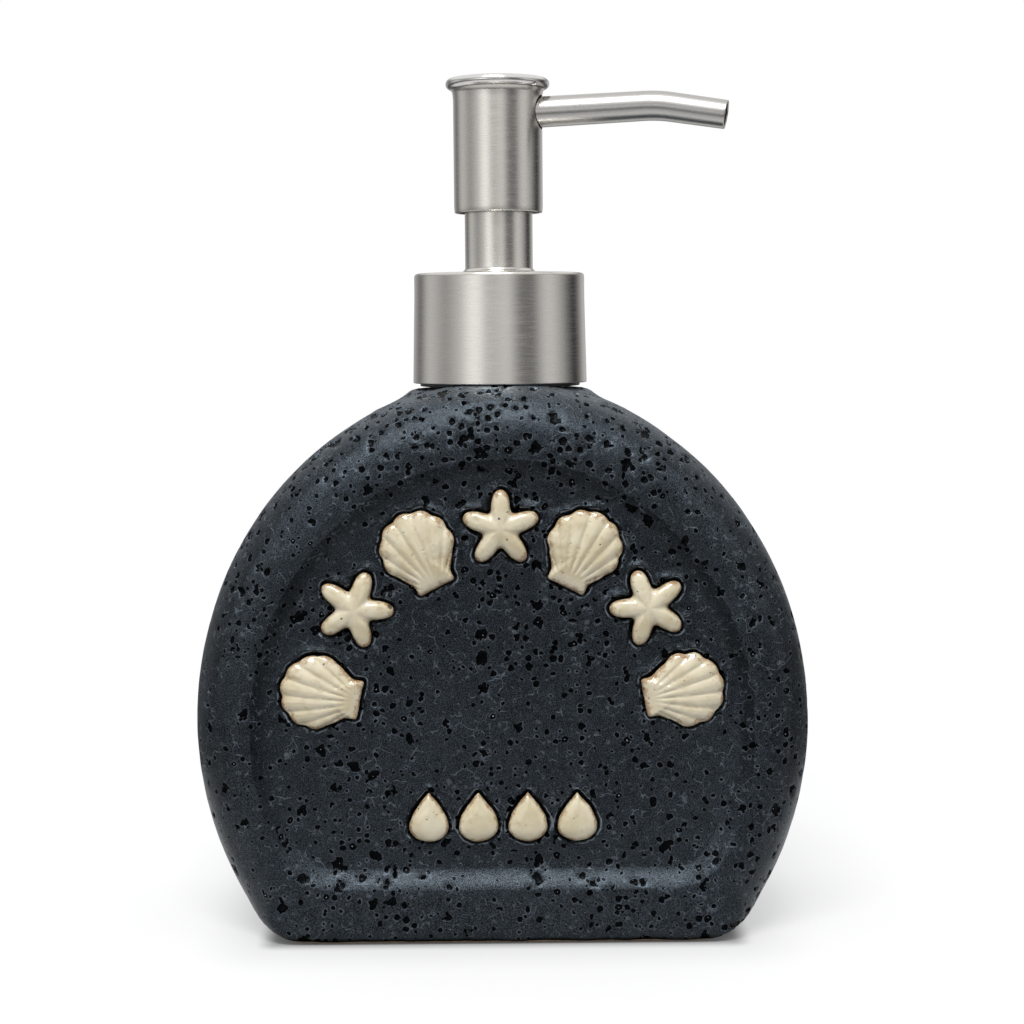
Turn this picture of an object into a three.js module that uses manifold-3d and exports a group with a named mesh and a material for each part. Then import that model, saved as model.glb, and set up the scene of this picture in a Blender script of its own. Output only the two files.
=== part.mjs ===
// Soap pump dispenser: a flat round stoneware flask with glazed reliefs, and a brushed steel pump.
// Millimetres, +Z up. The flask's front faces -Y. The origin is on the floor, under the pump's axis.
import * as THREE from "three";
import { mergeVertices } from "three/addons/utils/BufferGeometryUtils.js";
import Module from "manifold-3d";

const wasm = await Module();
wasm.setup();

// ---- Driving dimensions ----

// Flask, seen from the front
const flaskHalfWidth = 58;
const widestHeight = 40; // height above the floor at which the flask is widest
const crownRise = 64.5; // from the widest level to the top of the oval
const flankRadius = 66.6; // below the widest level
const heelRadius = 16; // bottom corners
const shoulderSink = 1.5; // from the top of the oval down to the flat pad under the collar

// Flask, seen from the side
const flaskThickness = 48;
const rimRoundness = 10.6; // edge radius round the crown and flanks
const footRoundness = 1.5; // edge radius along the foot
const wallThickness = 4;
const floorThickness = 5;
const footRimWidth = 7;
const footKick = 1.2; // the underside is hollowed by this much inside its rim
const kickCorner = 10;

// Sunk panel on both faces
const panelSideLand = 0.6; // flat between the rounded rim and the panel's edge
const panelCrownLand = 3;
const panelFootLand = 8.8; // above the foot's small edge
const panelCorner = 9;
const panelSlope = 4;
const panelDepth = 2.5;

// Shoulder pad under the collar
const padLedge = 0.35; // the pad is this much wider than the collar
const padDrop = 4.3;
const padSpread = 7.5; // sideways flare of the pad's skirt
const padSpreadFront = 4; // front and back flare
const padCurve = 0.68;

// Threaded neck
const neckRadius = 12.5; // root of the thread
const neckWall = 3.5;
const neckHeight = 15.6;
const neckChamfer = 0.6;
const threadPitch = 4.233; // six turns per inch
const threadDepth = 1.1;
const threadTurns = 1.15;
const threadTopGap = 4.9; // from the neck's rim down to the ridge's upper end
const threadRootWidth = 2.3;
const threadCrestWidth = 0.9;
const threadClearance = 0.4;
const threadBite = 0.4; // how deep a ridge's root is buried in its wall

// Reliefs on the front panel
const reliefHeight = 2.3;
const reliefEdge = 0.9; // height of the rounded edge
const reliefCount = 7;
const reliefWidth = 14.2; // of a shell or a star, along the arc
const shellLength = 15.2; // across the arc
const shellHinge = 8.2; // from the hinge up to the fan's widest line
const shellEar = 3.7; // half the width over the ears
const shellEarHeight = 2;
const starWaist = 3.4; // radius between two arms
const reliefPitchGap = 1.5; // between neighbours
const reliefSideMargin = 0.8; // from the arc's pieces to the panel's flat edge
const reliefCrownMargin = 1.6;
const dropCount = 4;
const dropLength = 9.4;
const dropWidth = 7.4;
const dropPitchGap = 1.8;
const dropFootMargin = 4.9; // from the drops to the panel's flat edge
const lutingGap = 0.05; // slip between a relief and the panel

// Closure
const capWall = 1.4;
const capTopWall = 1.2;
const capChamfer = 0.7;
const capSkirtGap = 0.4; // above the shoulder pad
const collarWall = 0.6;
const collarTopWall = 0.5;
const collarSkirtGap = 1; // above the shoulder pad
const collarFlare = 0.4; // the collar is this much wider at its foot
const collarCorner = 0.8;
const collarClearance = 0.35;

// Pump body
const washerThickness = 1.2;
const flangeThickness = 1.4;
const housingBore = 5.2;
const housingWall = 1.2;
const springRoom = 37.4; // from the top of the housing down to the spring's seat
const chamberRadius = 3.4; // of the ball's chamber
const chamberWall = 1.5;
const chamberLength = 5;
const seatConeHeight = 1.5;
const inletLand = 0.7; // the inlet is this much smaller than the ball
const cageLip = 0.25; // the lip over the ball is this much smaller than the ball
const cageLipThickness = 0.8;
const cageSlot = 1.3; // slots that let the soap past the lip
const inletLength = 2;
const nozzleLength = 9.5;
const nozzleWall = 1.1;
const ventRadius = 0.7;
const ventDrop = 5; // below the housing's flange
const chapletFlangeThickness = 1;
const chapletWall = 0.5;
const chapletSkirt = 8.6; // reaches down into the housing and stops the stem
const chapletTopGap = 0.8; // below the sleeve's top edge
const sleeveRadius = 6.5;
const sleeveWall = 0.4;
const sleeveHeight = 14.3;
const sleeveFoot = 0.45; // flare at the bottom of the sleeve
const dipTubeRadius = 2.9;
const dipTubeWall = 0.7;
const dipTubeFloorGap = 3.3;
const dipTubeNotch = 2.6;
const ballPlay = 1; // round the ball in its chamber
const springWire = 0.8;
const springTurns = 6.5;
const springTurnGap = 0.12; // between the close turns at each end

// Moving set
const pressTravel = 10.5;
const pressStopGap = 1; // left between head and collar at the bottom of the stroke
const pistonLength = 5.6;
const pistonLip = 1.4;
const pistonWaist = 0.8;
const stemRadius = 3.2;
const stemWall = 0.9;
const stemFlangeWidth = 1;
const stemFlangeThickness = 1.2;
const plugPlay = 0.8; // round the plug in the housing
const plugThickness = 1.4;
const plugShank = 7.6;
const headPlay = 1.4; // between the sleeve and the head that slides over it
const headWall = 0.6;
const headHeight = 23.1;
const headFlare = 0.5;
const coreLength = 8.8;
const coreSocketWall = 1.5;
const coreSocketReach = 4.6; // how far the socket hangs below the core
const coreSocketDepth = 1.1; // how far the socket runs up into the core
const channelRadius = 1.8;
const capPlateOverhang = 0.9; // past the head's flared top
const capPlateBead = 0.95;
const capPlateDish = 0.35;
const spoutRadius = 2.93;
const spoutTipRadius = 2.68;
const spoutWall = 0.45;
const spoutDrop = 4.5; // from the top of the head shell to the spout's axis
const spoutRootReach = 4;
const spoutBendReach = 30.8;
const spoutBendSpan = 4; // the bend starts and ends this far from its middle
const spoutTipReach = 43.6;
const spoutRise = 1.5; // degrees, root to bend
const spoutFall = 9.5; // degrees, bend to tip
const spoutHeading = -12; // degrees from +X, towards the front

// Clearances
const seatGap = 0.2; // between pieces stacked on each other
const slipGap = 0.3; // between pieces that sit in or turn in each other

// Facets
const roundSteps = 36;
const innerSteps = 24;
const ventSteps = 12;
const ballSteps = 20;
const springSteps = 12; // per turn
const springSides = 6;
const bendSteps = 5;
const cornerSteps = 4;
const beadSteps = 8;

// ---- Heights worked out from the stack on the neck ----

const shoulderHeight = widestHeight + crownRise - shoulderSink;
const neckTop = shoulderHeight + neckHeight;
const threadHeight = neckTop - threadTopGap - threadTurns * threadPitch;
const washerBottom = neckTop + seatGap;
const flangeBottom = washerBottom + washerThickness + seatGap;
const housingTop = flangeBottom + flangeThickness;
const chapletBottom = housingTop + seatGap;
const capTopInside = chapletBottom + chapletFlangeThickness + seatGap;
const capTop = capTopInside + capTopWall;
const collarTop = capTop + seatGap + collarTopWall;
const sleeveBottom = collarTop + seatGap;
const sleeveTop = sleeveBottom + sleeveHeight;
const headBottom = collarTop + pressTravel + pressStopGap;
const headTop = headBottom + headHeight;
const spoutHeight = headTop - spoutDrop;

const stopHeight = chapletBottom - chapletSkirt;
const stemFlangeBottom = stopHeight - slipGap - stemFlangeThickness;
const pistonTop = stemFlangeBottom - slipGap;
const pistonBottom = pistonTop - pistonLength;
const plugTop = pistonBottom - seatGap;
const springSeat = housingTop - springRoom;
const springBottom = springSeat + seatGap;
const springTop = plugTop - plugThickness - seatGap;
const chamberBottom = springSeat - chamberLength;
const coneBottom = chamberBottom - seatConeHeight;
const nozzleTop = coneBottom - inletLength;
const nozzleBottom = nozzleTop - nozzleLength;

// ---- Radii worked out from what fits in what ----

const neckBore = neckRadius - neckWall;
const flangeRadius = neckRadius - slipGap;
const capBore = neckRadius + threadDepth + threadClearance;
const capRadius = capBore + capWall;
const collarInside = capRadius + collarClearance;
const collarRadius = collarInside + collarWall;
const padRadius = collarRadius + collarFlare + padLedge;
const sleeveBore = sleeveRadius - sleeveWall;
const chapletRadius = sleeveBore - seatGap;
const chapletBore = chapletRadius - chapletWall;
const capHole = chapletRadius + slipGap;
const stemBore = stemRadius - stemWall;
const stemFlangeRadius = stemRadius + stemFlangeWidth;
const stemHole = stemRadius + slipGap + seatGap / 2;
const shankRadius = stemBore - slipGap;
const pistonRadius = housingBore - seatGap;
const socketBore = stemRadius + slipGap;
const headBore = sleeveRadius + headPlay;
const headRadius = headBore + headWall;
const capPlateRadius = headRadius + headFlare + capPlateOverhang;
const coreRadius = headBore - slipGap;
const coreBottom = headTop - seatGap - coreLength;
const socketEnd = coreBottom + coreSocketDepth;
const housingRadius = housingBore + housingWall;
const nozzleBore = dipTubeRadius + slipGap;
const springRadius = housingBore - slipGap - springWire;
const plugRadius = housingBore - plugPlay;
const ballRadius = chamberRadius - ballPlay;
const inletRadius = ballRadius - inletLand;

// ---- The flask's panel and hollow ----

const cavityDepth = flaskThickness / 2 - panelDepth - wallThickness;
const panelSideMargin = rimRoundness + panelSideLand;
const panelCrownMargin = rimRoundness + panelCrownLand;
const panelFoot = footRoundness + panelFootLand;

// ---- Solid helpers ----

const weldDistance = 1e-4; // vertices closer than this are one
const cutMargin = 1; // how far a cut runs past what it cuts

// A closed geometry as a manifold solid with its faces pointing out.
function solid(geometry) {
  const bare = geometry.index ? geometry.toNonIndexed() : geometry.clone();
  bare.deleteAttribute("normal");
  bare.deleteAttribute("uv");
  const merged = mergeVertices(bare, weldDistance);
  const make = (triVerts) =>
    new wasm.Manifold(
      new wasm.Mesh({ numProp: 3, vertProperties: merged.attributes.position.array, triVerts }),
    );
  const made = make(new Uint32Array(merged.index.array));
  if (made.volume() > 0) return made;
  const flipped = new Uint32Array(merged.index.array);
  for (let i = 0; i < flipped.length; i += 3)
    [flipped[i + 1], flipped[i + 2]] = [flipped[i + 2], flipped[i + 1]];
  return make(flipped);
}

// A manifold solid as a three.js geometry.
function geometryOf(made) {
  const mesh = made.getMesh();
  const positions = new Float32Array(mesh.numVert * 3);
  for (let i = 0; i < mesh.numVert; i++)
    positions.set(mesh.vertProperties.subarray(i * mesh.numProp, i * mesh.numProp + 3), i * 3);
  const geometry = new THREE.BufferGeometry()
    .setAttribute("position", new THREE.BufferAttribute(positions, 3))
    .setIndex(new THREE.BufferAttribute(new Uint32Array(mesh.triVerts), 1));
  geometry.computeVertexNormals();
  return geometry;
}

// A profile of [radius, height] pairs turned about Z. It starts and ends on the axis.
function turned(profile, steps) {
  const points = profile.map(([radius, height]) => new THREE.Vector2(radius, height));
  return solid(new THREE.LatheGeometry(points, steps).rotateX(Math.PI / 2));
}

// A ring: a profile of [radius, height] pairs that closes on itself, turned about Z.
function turnedRing(profile, steps) {
  return turned([...profile, profile[0]], steps);
}

// Points of an arc in a profile, angles in degrees from +radius.
function arc(centreRadius, centreHeight, radius, from, to, steps) {
  return Array.from({ length: steps + 1 }, (_, i) => {
    const angle = THREE.MathUtils.degToRad(from + ((to - from) * i) / steps);
    return [centreRadius + radius * Math.cos(angle), centreHeight + radius * Math.sin(angle)];
  });
}

// A rod along X from the axis outwards, tilted up and turned to the spout's heading.
function channelRod(radius, from, to, height) {
  const rod = new THREE.CylinderGeometry(radius, radius, to - from, innerSteps);
  rod.rotateZ(-Math.PI / 2).translate((from + to) / 2, 0, 0);
  rod.rotateY(-THREE.MathUtils.degToRad(spoutRise));
  rod.rotateZ(THREE.MathUtils.degToRad(spoutHeading)).translate(0, 0, height);
  return solid(rod);
}

// Rings with the same number of points, joined into one closed body, with a fan over each end.
function loft(rings) {
  const count = rings[0].length;
  const centreOf = (ring) =>
    ring.reduce((sum, point) => sum.add(point), new THREE.Vector3()).divideScalar(count);
  const points = [...rings.flat(), centreOf(rings[0]), centreOf(rings[rings.length - 1])];
  const firstCentre = rings.length * count;
  const lastRing = (rings.length - 1) * count;
  const triangles = [];
  for (let i = 0; i < count; i++) {
    const next = (i + 1) % count;
    for (let r = 0; r < rings.length - 1; r++) {
      const low = r * count;
      const high = low + count;
      triangles.push(low + i, low + next, high + i, low + next, high + next, high + i);
    }
    triangles.push(firstCentre, next, i, firstCentre + 1, lastRing + i, lastRing + next);
  }
  const geometry = new THREE.BufferGeometry().setFromPoints(points);
  geometry.setIndex(triangles);
  return solid(geometry);
}

// ---- Flask ----

const crownSteps = 13;
const flankSteps = 5;
const heelSteps = 4;
const footSteps = 2;
const rimSteps = 5;
const cavityRimSteps = 2;
const padSteps = 5;
const kickCornerSteps = 3;

// The outline of the flask, or of a smaller one inside it: an oval crown, round flanks and heels,
// and a flat foot. Each point has the outline's normal with it.
function flaskOutline({ halfWidth, rise, flank, heel, foot }) {
  const flankX = halfWidth - flank;
  const heelZ = foot + heel;
  const heelX = flankX + Math.sqrt((flank - heel) ** 2 - (widestHeight - heelZ) ** 2);
  const heelAngle = Math.atan2(widestHeight - heelZ, heelX - flankX);
  const half = [];
  const add = (x, z, nx, nz) => {
    const length = Math.hypot(nx, nz);
    half.push({ x, z, nx: nx / length, nz: nz / length });
  };
  for (let i = 0; i < crownSteps; i++) {
    const t = (Math.PI / 2) * (1 - i / crownSteps);
    const [c, s] = [Math.cos(t), Math.sin(t)];
    add(halfWidth * c, widestHeight + rise * s, c / halfWidth, s / rise);
  }
  for (let i = 0; i < flankSteps; i++) {
    const t = (heelAngle * i) / flankSteps;
    add(flankX + flank * Math.cos(t), widestHeight - flank * Math.sin(t), Math.cos(t), -Math.sin(t));
  }
  for (let i = 0; i < heelSteps; i++) {
    const t = heelAngle + ((Math.PI / 2 - heelAngle) * i) / heelSteps;
    add(heelX + heel * Math.cos(t), heelZ - heel * Math.sin(t), Math.cos(t), -Math.sin(t));
  }
  for (let i = 0; i <= footSteps; i++) add(heelX * (1 - i / footSteps), foot, 0, -1);
  const mirrored = half
    .slice(1, -1)
    .reverse()
    .map((p) => ({ x: -p.x, z: p.z, nx: -p.nx, nz: p.nz }));
  return [...half, ...mirrored];
}

// The outline placed at depth y.
function flaskRing(outline, y) {
  return outline.map((p) => new THREE.Vector3(p.x, y, p.z));
}

// The rings over one rounded edge, from the face to the side. side is -1 for the front and 1 for the back.
function edgeRings(outline, halfDepth, roundness, side, steps) {
  return Array.from({ length: steps + 1 }, (_, i) => {
    const angle = (Math.PI / 2) * (1 - i / steps);
    return outline.map((p) => {
      const radius = roundness(p);
      const inset = radius * (1 - Math.cos(angle));
      const y = side * (halfDepth - radius + radius * Math.sin(angle));
      return new THREE.Vector3(p.x - p.nx * inset, y, p.z - p.nz * inset);
    });
  });
}

// The rim is round on the crown and flanks, and narrows to the foot's small edge round the heels.
function rimRadius(p) {
  const narrowsFrom = 0.5; // where the outline faces 30 degrees down
  const share = THREE.MathUtils.smoothstep(-p.nz, narrowsFrom, 1);
  return THREE.MathUtils.lerp(rimRoundness, footRoundness, share);
}

const flaskBody = flaskOutline({
  halfWidth: flaskHalfWidth,
  rise: crownRise,
  flank: flankRadius,
  heel: heelRadius,
  foot: 0,
});

// The outline of the sunk panel, or of its floor inside the sloping border.
function panelOutline(slope) {
  return flaskOutline({
    halfWidth: flaskHalfWidth - panelSideMargin - slope,
    rise: crownRise - panelCrownMargin - slope,
    flank: flankRadius - panelSideMargin - slope,
    heel: panelCorner,
    foot: panelFoot + slope,
  });
}

function flaskShell() {
  const half = flaskThickness / 2;
  const face = (side) => [
    flaskRing(panelOutline(panelSlope), side * (half - panelDepth)),
    flaskRing(panelOutline(0), side * half),
    ...edgeRings(flaskBody, half, rimRadius, side, rimSteps),
  ];
  return loft([...face(-1), ...face(1).reverse()]);
}

function flaskCavity() {
  const outline = flaskOutline({
    halfWidth: flaskHalfWidth - wallThickness,
    rise: crownRise - wallThickness,
    flank: flankRadius - wallThickness,
    heel: heelRadius - wallThickness,
    foot: floorThickness,
  });
  const roundness = () => rimRoundness - wallThickness;
  return loft([
    ...edgeRings(outline, cavityDepth, roundness, -1, cavityRimSteps),
    ...edgeRings(outline, cavityDepth, roundness, 1, cavityRimSteps).reverse(),
  ]);
}

// The pad's skirt: oval rings that spread out and run down into the crown, over a root inside it.
function shoulderPad() {
  const rings = [];
  const rootShare = 0.8;
  for (let i = 0; i <= padSteps; i++) {
    const share = i / padSteps;
    const height = shoulderHeight - padDrop * share ** padCurve;
    rings.push(
      Array.from({ length: roundSteps }, (_, k) => {
        const angle = (2 * Math.PI * k) / roundSteps;
        return new THREE.Vector3(
          (padRadius + padSpread * share) * Math.cos(angle),
          (padRadius + padSpreadFront * share) * Math.sin(angle),
          height,
        );
      }),
    );
  }
  rings.push(
    rings[padSteps].map((p) => new THREE.Vector3(p.x * rootShare, p.y * rootShare, p.z - padDrop)),
  );
  return loft(rings);
}

// A right-hand helical thread ridge that starts at angle 0 and runs out at both ends.
function threadRidge(rootRadius, crestRadius, startHeight) {
  const steps = Math.round(threadTurns * roundSteps);
  const runoutSteps = 3;
  const endShare = 0.45; // of the ridge's full depth, at its very ends
  const rings = [];
  for (let i = 0; i <= steps; i++) {
    const angle = (2 * Math.PI * i) / roundSteps;
    const height = startHeight + (threadPitch * i) / roundSteps;
    const risen = Math.min(1, Math.min(i, steps - i) / runoutSteps);
    const share = THREE.MathUtils.lerp(endShare, 1, risen);
    const crest = THREE.MathUtils.lerp(rootRadius, crestRadius, share);
    const section = [
      [rootRadius, -threadRootWidth / 2],
      [crest, -threadCrestWidth / 2],
      [crest, threadCrestWidth / 2],
      [rootRadius, threadRootWidth / 2],
    ];
    rings.push(
      section.map(
        ([r, z]) => new THREE.Vector3(r * Math.cos(angle), r * Math.sin(angle), height + z),
      ),
    );
  }
  return loft(rings);
}

function bottle() {
  const aboveShoulder = solid(
    new THREE.BoxGeometry(2 * flaskHalfWidth, 2 * flaskThickness, crownRise).translate(
      0,
      0,
      shoulderHeight + crownRise / 2,
    ),
  );
  const neck = turned(
    [
      [0, shoulderHeight - padDrop],
      [neckRadius, shoulderHeight - padDrop],
      [neckRadius, neckTop - neckChamfer],
      [neckRadius - neckChamfer, neckTop],
      [0, neckTop],
    ],
    roundSteps,
  );
  const bore = turned(
    [
      [0, shoulderHeight - 2 * wallThickness],
      [neckBore, shoulderHeight - 2 * wallThickness],
      [neckBore, neckTop + cutMargin],
      [0, neckTop + cutMargin],
    ],
    roundSteps,
  );
  const ridge = threadRidge(neckRadius - threadBite, neckRadius + threadDepth, threadHeight);
  return flaskShell()
    .subtract(aboveShoulder)
    .add(shoulderPad())
    .add(neck)
    .add(ridge)
    .subtract(flaskCavity())
    .subtract(bore)
    .subtract(footHollow());
}

// The shallow hollow with round corners that leaves a flat rim under the foot.
function footHollow() {
  const footHalfWidth = flaskBody[crownSteps + flankSteps + heelSteps].x;
  const reachX = footHalfWidth - footRimWidth / 2;
  const reachY = flaskThickness / 2 - footRimWidth;
  const ring = (height) =>
    [0, 1, 2, 3].flatMap((corner) => {
      const centreX = (reachX - kickCorner) * (corner % 3 === 0 ? 1 : -1);
      const centreY = (reachY - kickCorner) * (corner < 2 ? 1 : -1);
      return Array.from({ length: kickCornerSteps + 1 }, (_, i) => {
        const angle = (Math.PI / 2) * (corner + i / kickCornerSteps);
        return new THREE.Vector3(
          centreX + kickCorner * Math.cos(angle),
          centreY + kickCorner * Math.sin(angle),
          height,
        );
      });
    });
  return loft([ring(-cutMargin), ring(footKick)]);
}

// ---- Reliefs ----
// Outlines in the plane of the panel, [across, outwards], about each relief's own middle.

function shellOutline() {
  const ribs = 7;
  const steps = ribs * 3;
  const brim = 24; // degrees that the fan reaches below its widest line
  const lobeDepth = 0.07; // share of the fan's reach
  const reachAcross = reliefWidth / 2;
  const reachOut = shellLength - shellHinge;
  const hinge = -shellLength / 2;
  const points = [];
  for (let i = 0; i <= steps; i++) {
    const share = i / steps;
    const angle = THREE.MathUtils.degToRad(-brim + (180 + 2 * brim) * share);
    const lobe = 1 - lobeDepth * (1 - Math.abs(Math.sin(Math.PI * ribs * share)));
    points.push([
      reachAcross * lobe * Math.cos(angle),
      shellLength / 2 - reachOut + reachOut * lobe * Math.sin(angle),
    ]);
  }
  const ears = [
    [-shellEar, hinge + shellEarHeight],
    [-shellEar, hinge],
    [shellEar, hinge],
    [shellEar, hinge + shellEarHeight],
  ];
  return [...points, ...ears];
}

// Five arms as a wave round a circle. The arms beside the top one reach the full width.
function starOutline() {
  const arms = 5;
  const steps = arms * 6;
  const reach = reliefWidth / 2 / Math.sin((2 * Math.PI) / arms);
  const middle = (reach + starWaist) / 2;
  const wave = (reach - starWaist) / 2;
  return Array.from({ length: steps }, (_, i) => {
    const angle = (2 * Math.PI * i) / steps;
    const radius = middle + wave * Math.cos(arms * angle);
    return [-radius * Math.sin(angle), radius * Math.cos(angle)];
  });
}

// A drop with its point up: a circle's wave, drawn in towards the point.
function dropOutline() {
  const steps = 16;
  const draw = 1.2; // how quickly it draws in
  const widest = 2 * Math.atan(Math.sqrt(1 + draw));
  const belly = Math.sin(widest) * Math.sin(widest / 2) ** draw;
  return Array.from({ length: steps }, (_, i) => {
    const t = (2 * Math.PI * i) / steps;
    const across = (Math.sin(t) * Math.sin(t / 2) ** draw) / belly;
    return [(-dropWidth / 2) * across, (dropLength / 2) * Math.cos(t)];
  });
}

// A relief stands out towards -Y from its back at y = 0, with upright sides and a rounded edge on top.
function relief(outline) {
  const level = (share, height) =>
    outline.map(([across, out]) => new THREE.Vector3(across * share, -height, out * share));
  const topShare = 0.8;
  return loft([level(1, 0), level(1, reliefHeight - reliefEdge), level(topShare, reliefHeight)]);
}

// ---- Closure ----

function closureCap() {
  const bottom = shoulderHeight + capSkirtGap;
  const wall = turnedRing(
    [
      [capBore, bottom],
      [capRadius, bottom],
      [capRadius, capTop - capChamfer],
      [capRadius - capChamfer, capTop],
      [capHole, capTop],
      [capHole, capTopInside],
      [capBore, capTopInside],
    ],
    roundSteps,
  );
  const crest = neckRadius + threadClearance;
  return wall.add(threadRidge(capBore + threadBite, crest, threadHeight - threadPitch / 2));
}

function collarShell() {
  const bottom = shoulderHeight + collarSkirtGap;
  const inner = collarCorner - collarWall / 2;
  return turnedRing(
    [
      [collarRadius + collarFlare - collarWall, bottom],
      [collarRadius + collarFlare, bottom],
      ...arc(collarRadius - collarCorner, collarTop - collarCorner, collarCorner, 0, 90, cornerSteps),
      [capHole, collarTop],
      [capHole, collarTop - collarTopWall],
      ...arc(collarInside - inner, collarTop - collarTopWall - inner, inner, 90, 0, cornerSteps),
    ],
    roundSteps,
  );
}

// ---- Pump body ----

function neckWasher() {
  return turnedRing(
    [
      [housingRadius + slipGap + seatGap, washerBottom],
      [neckRadius - seatGap, washerBottom],
      [neckRadius - seatGap, washerBottom + washerThickness],
      [housingRadius + slipGap + seatGap, washerBottom + washerThickness],
    ],
    roundSteps,
  );
}

function pumpHousing() {
  const chamberOutside = chamberRadius + chamberWall;
  const nozzleRadius = nozzleBore + nozzleWall;
  const body = turnedRing(
    [
      [housingBore, housingTop],
      [housingBore, springSeat],
      [ballRadius - cageLip, springSeat],
      [ballRadius - cageLip, springSeat - cageLipThickness],
      [chamberRadius, springSeat - cageLipThickness],
      [chamberRadius, chamberBottom],
      [inletRadius, coneBottom],
      [inletRadius, nozzleTop],
      [nozzleBore, nozzleTop],
      [nozzleBore, nozzleBottom],
      [nozzleRadius, nozzleBottom],
      [nozzleRadius, nozzleTop],
      [chamberOutside, nozzleTop + inletLength],
      [chamberOutside, springSeat - 2 * housingWall],
      [housingRadius, springSeat - housingWall / 2],
      [housingRadius, flangeBottom],
      [flangeRadius, flangeBottom],
      [flangeRadius, housingTop],
    ],
    innerSteps,
  );
  const vent = new THREE.CylinderGeometry(ventRadius, ventRadius, 2 * housingRadius, ventSteps);
  vent.translate(0, housingRadius, flangeBottom - ventDrop);
  const slot = (turn) =>
    solid(
      new THREE.BoxGeometry(2 * (chamberRadius - seatGap), cageSlot, 4 * cageLipThickness)
        .rotateZ(turn)
        .translate(0, 0, springSeat),
    );
  return body
    .subtract(solid(vent))
    .subtract(slot(0))
    .subtract(slot(Math.PI / 2));
}

function chaplet() {
  const skirtRadius = housingBore - slipGap;
  return turnedRing(
    [
      [stemHole, stopHeight],
      [skirtRadius, stopHeight],
      [skirtRadius, chapletBottom],
      [flangeRadius - seatGap, chapletBottom],
      [flangeRadius - seatGap, chapletBottom + chapletFlangeThickness],
      [chapletRadius, chapletBottom + chapletFlangeThickness],
      [chapletRadius, sleeveTop - chapletTopGap],
      [chapletBore, sleeveTop - chapletTopGap],
      [chapletBore, capTopInside],
      [stemHole, capTopInside],
    ],
    innerSteps,
  );
}

function sleeve() {
  const footTop = sleeveBottom + sleeveFoot / 2;
  return turnedRing(
    [
      [sleeveBore, sleeveBottom],
      [sleeveRadius + sleeveFoot, sleeveBottom],
      ...arc(sleeveRadius + sleeveFoot, footTop + sleeveFoot, sleeveFoot, -90, -180, cornerSteps),
      [sleeveRadius, sleeveTop - sleeveWall / 2],
      [sleeveRadius - sleeveWall / 2, sleeveTop],
      [sleeveBore, sleeveTop],
    ],
    roundSteps,
  );
}

function dipTube() {
  const bottom = floorThickness + dipTubeFloorGap;
  const top = nozzleTop - slipGap;
  const tube = turnedRing(
    [
      [dipTubeRadius - dipTubeWall, bottom],
      [dipTubeRadius, bottom],
      [dipTubeRadius, top],
      [dipTubeRadius - dipTubeWall, top],
    ],
    innerSteps,
  );
  const notch = new THREE.BoxGeometry(dipTubeNotch, 4 * dipTubeRadius, dipTubeNotch);
  notch.rotateY(Math.PI / 4).translate(0, 0, bottom);
  return tube.subtract(solid(notch));
}

// The ball rests in the cone: its centre stands off the cone's face by its radius and a little play.
function ballHeight() {
  const slope = Math.atan2(seatConeHeight, chamberRadius - inletRadius);
  const play = seatGap;
  return coneBottom + (ballRadius + play) / Math.cos(slope) - inletRadius * Math.tan(slope);
}

function valveBall() {
  return solid(new THREE.SphereGeometry(ballRadius, ballSteps, ballSteps / 2).translate(0, 0, ballHeight()));
}

// The spring's centreline: a helix whose first and last turns lie close together.
class SpringCurve extends THREE.Curve {
  getPoint(t, target = new THREE.Vector3()) {
    const turns = springTurns * t;
    const closed = 1; // close turns at each end
    const risen = THREE.MathUtils.clamp((turns - closed) / (springTurns - 2 * closed), 0, 1);
    const ends = Math.min(turns, closed) + Math.max(0, turns - springTurns + closed);
    const closePitch = springWire + springTurnGap;
    const low = springBottom + springWire / 2;
    const span = springTop - springBottom - springWire - 2 * closed * closePitch;
    const angle = 2 * Math.PI * turns;
    return target.set(
      springRadius * Math.cos(angle),
      springRadius * Math.sin(angle),
      low + ends * closePitch + risen * span,
    );
  }
}

function returnSpring() {
  const section = new THREE.Shape().absarc(0, 0, springWire / 2, 0, 2 * Math.PI);
  return solid(
    new THREE.ExtrudeGeometry(section, {
      steps: Math.round(springTurns * springSteps),
      curveSegments: springSides / 2,
      extrudePath: new SpringCurve(),
    }),
  );
}

// ---- Moving set ----

function piston() {
  const waist = pistonRadius - pistonWaist;
  const bore = shankRadius + slipGap;
  return turnedRing(
    [
      [bore, pistonBottom],
      [pistonRadius - pistonWaist / 2, pistonBottom],
      [pistonRadius, pistonBottom + pistonLip / 2],
      [waist, pistonBottom + pistonLip],
      [waist, pistonTop - pistonLip],
      [pistonRadius, pistonTop - pistonLip / 2],
      [pistonRadius - pistonWaist / 2, pistonTop],
      [bore, pistonTop],
    ],
    innerSteps,
  );
}

function pistonStem() {
  const flangeTop = stemFlangeBottom + stemFlangeThickness;
  return turnedRing(
    [
      [stemBore, stemFlangeBottom],
      [stemFlangeRadius, stemFlangeBottom],
      [stemFlangeRadius, flangeTop],
      [stemRadius, flangeTop],
      [stemRadius, socketEnd - slipGap],
      [stemBore, socketEnd - slipGap],
    ],
    innerSteps,
  );
}

function stemPlug() {
  return turned(
    [
      [0, plugTop - plugThickness],
      [plugRadius, plugTop - plugThickness],
      [plugRadius, plugTop],
      [shankRadius, plugTop],
      [shankRadius, plugTop + plugShank],
      [0, plugTop + plugShank],
    ],
    innerSteps,
  );
}

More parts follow.
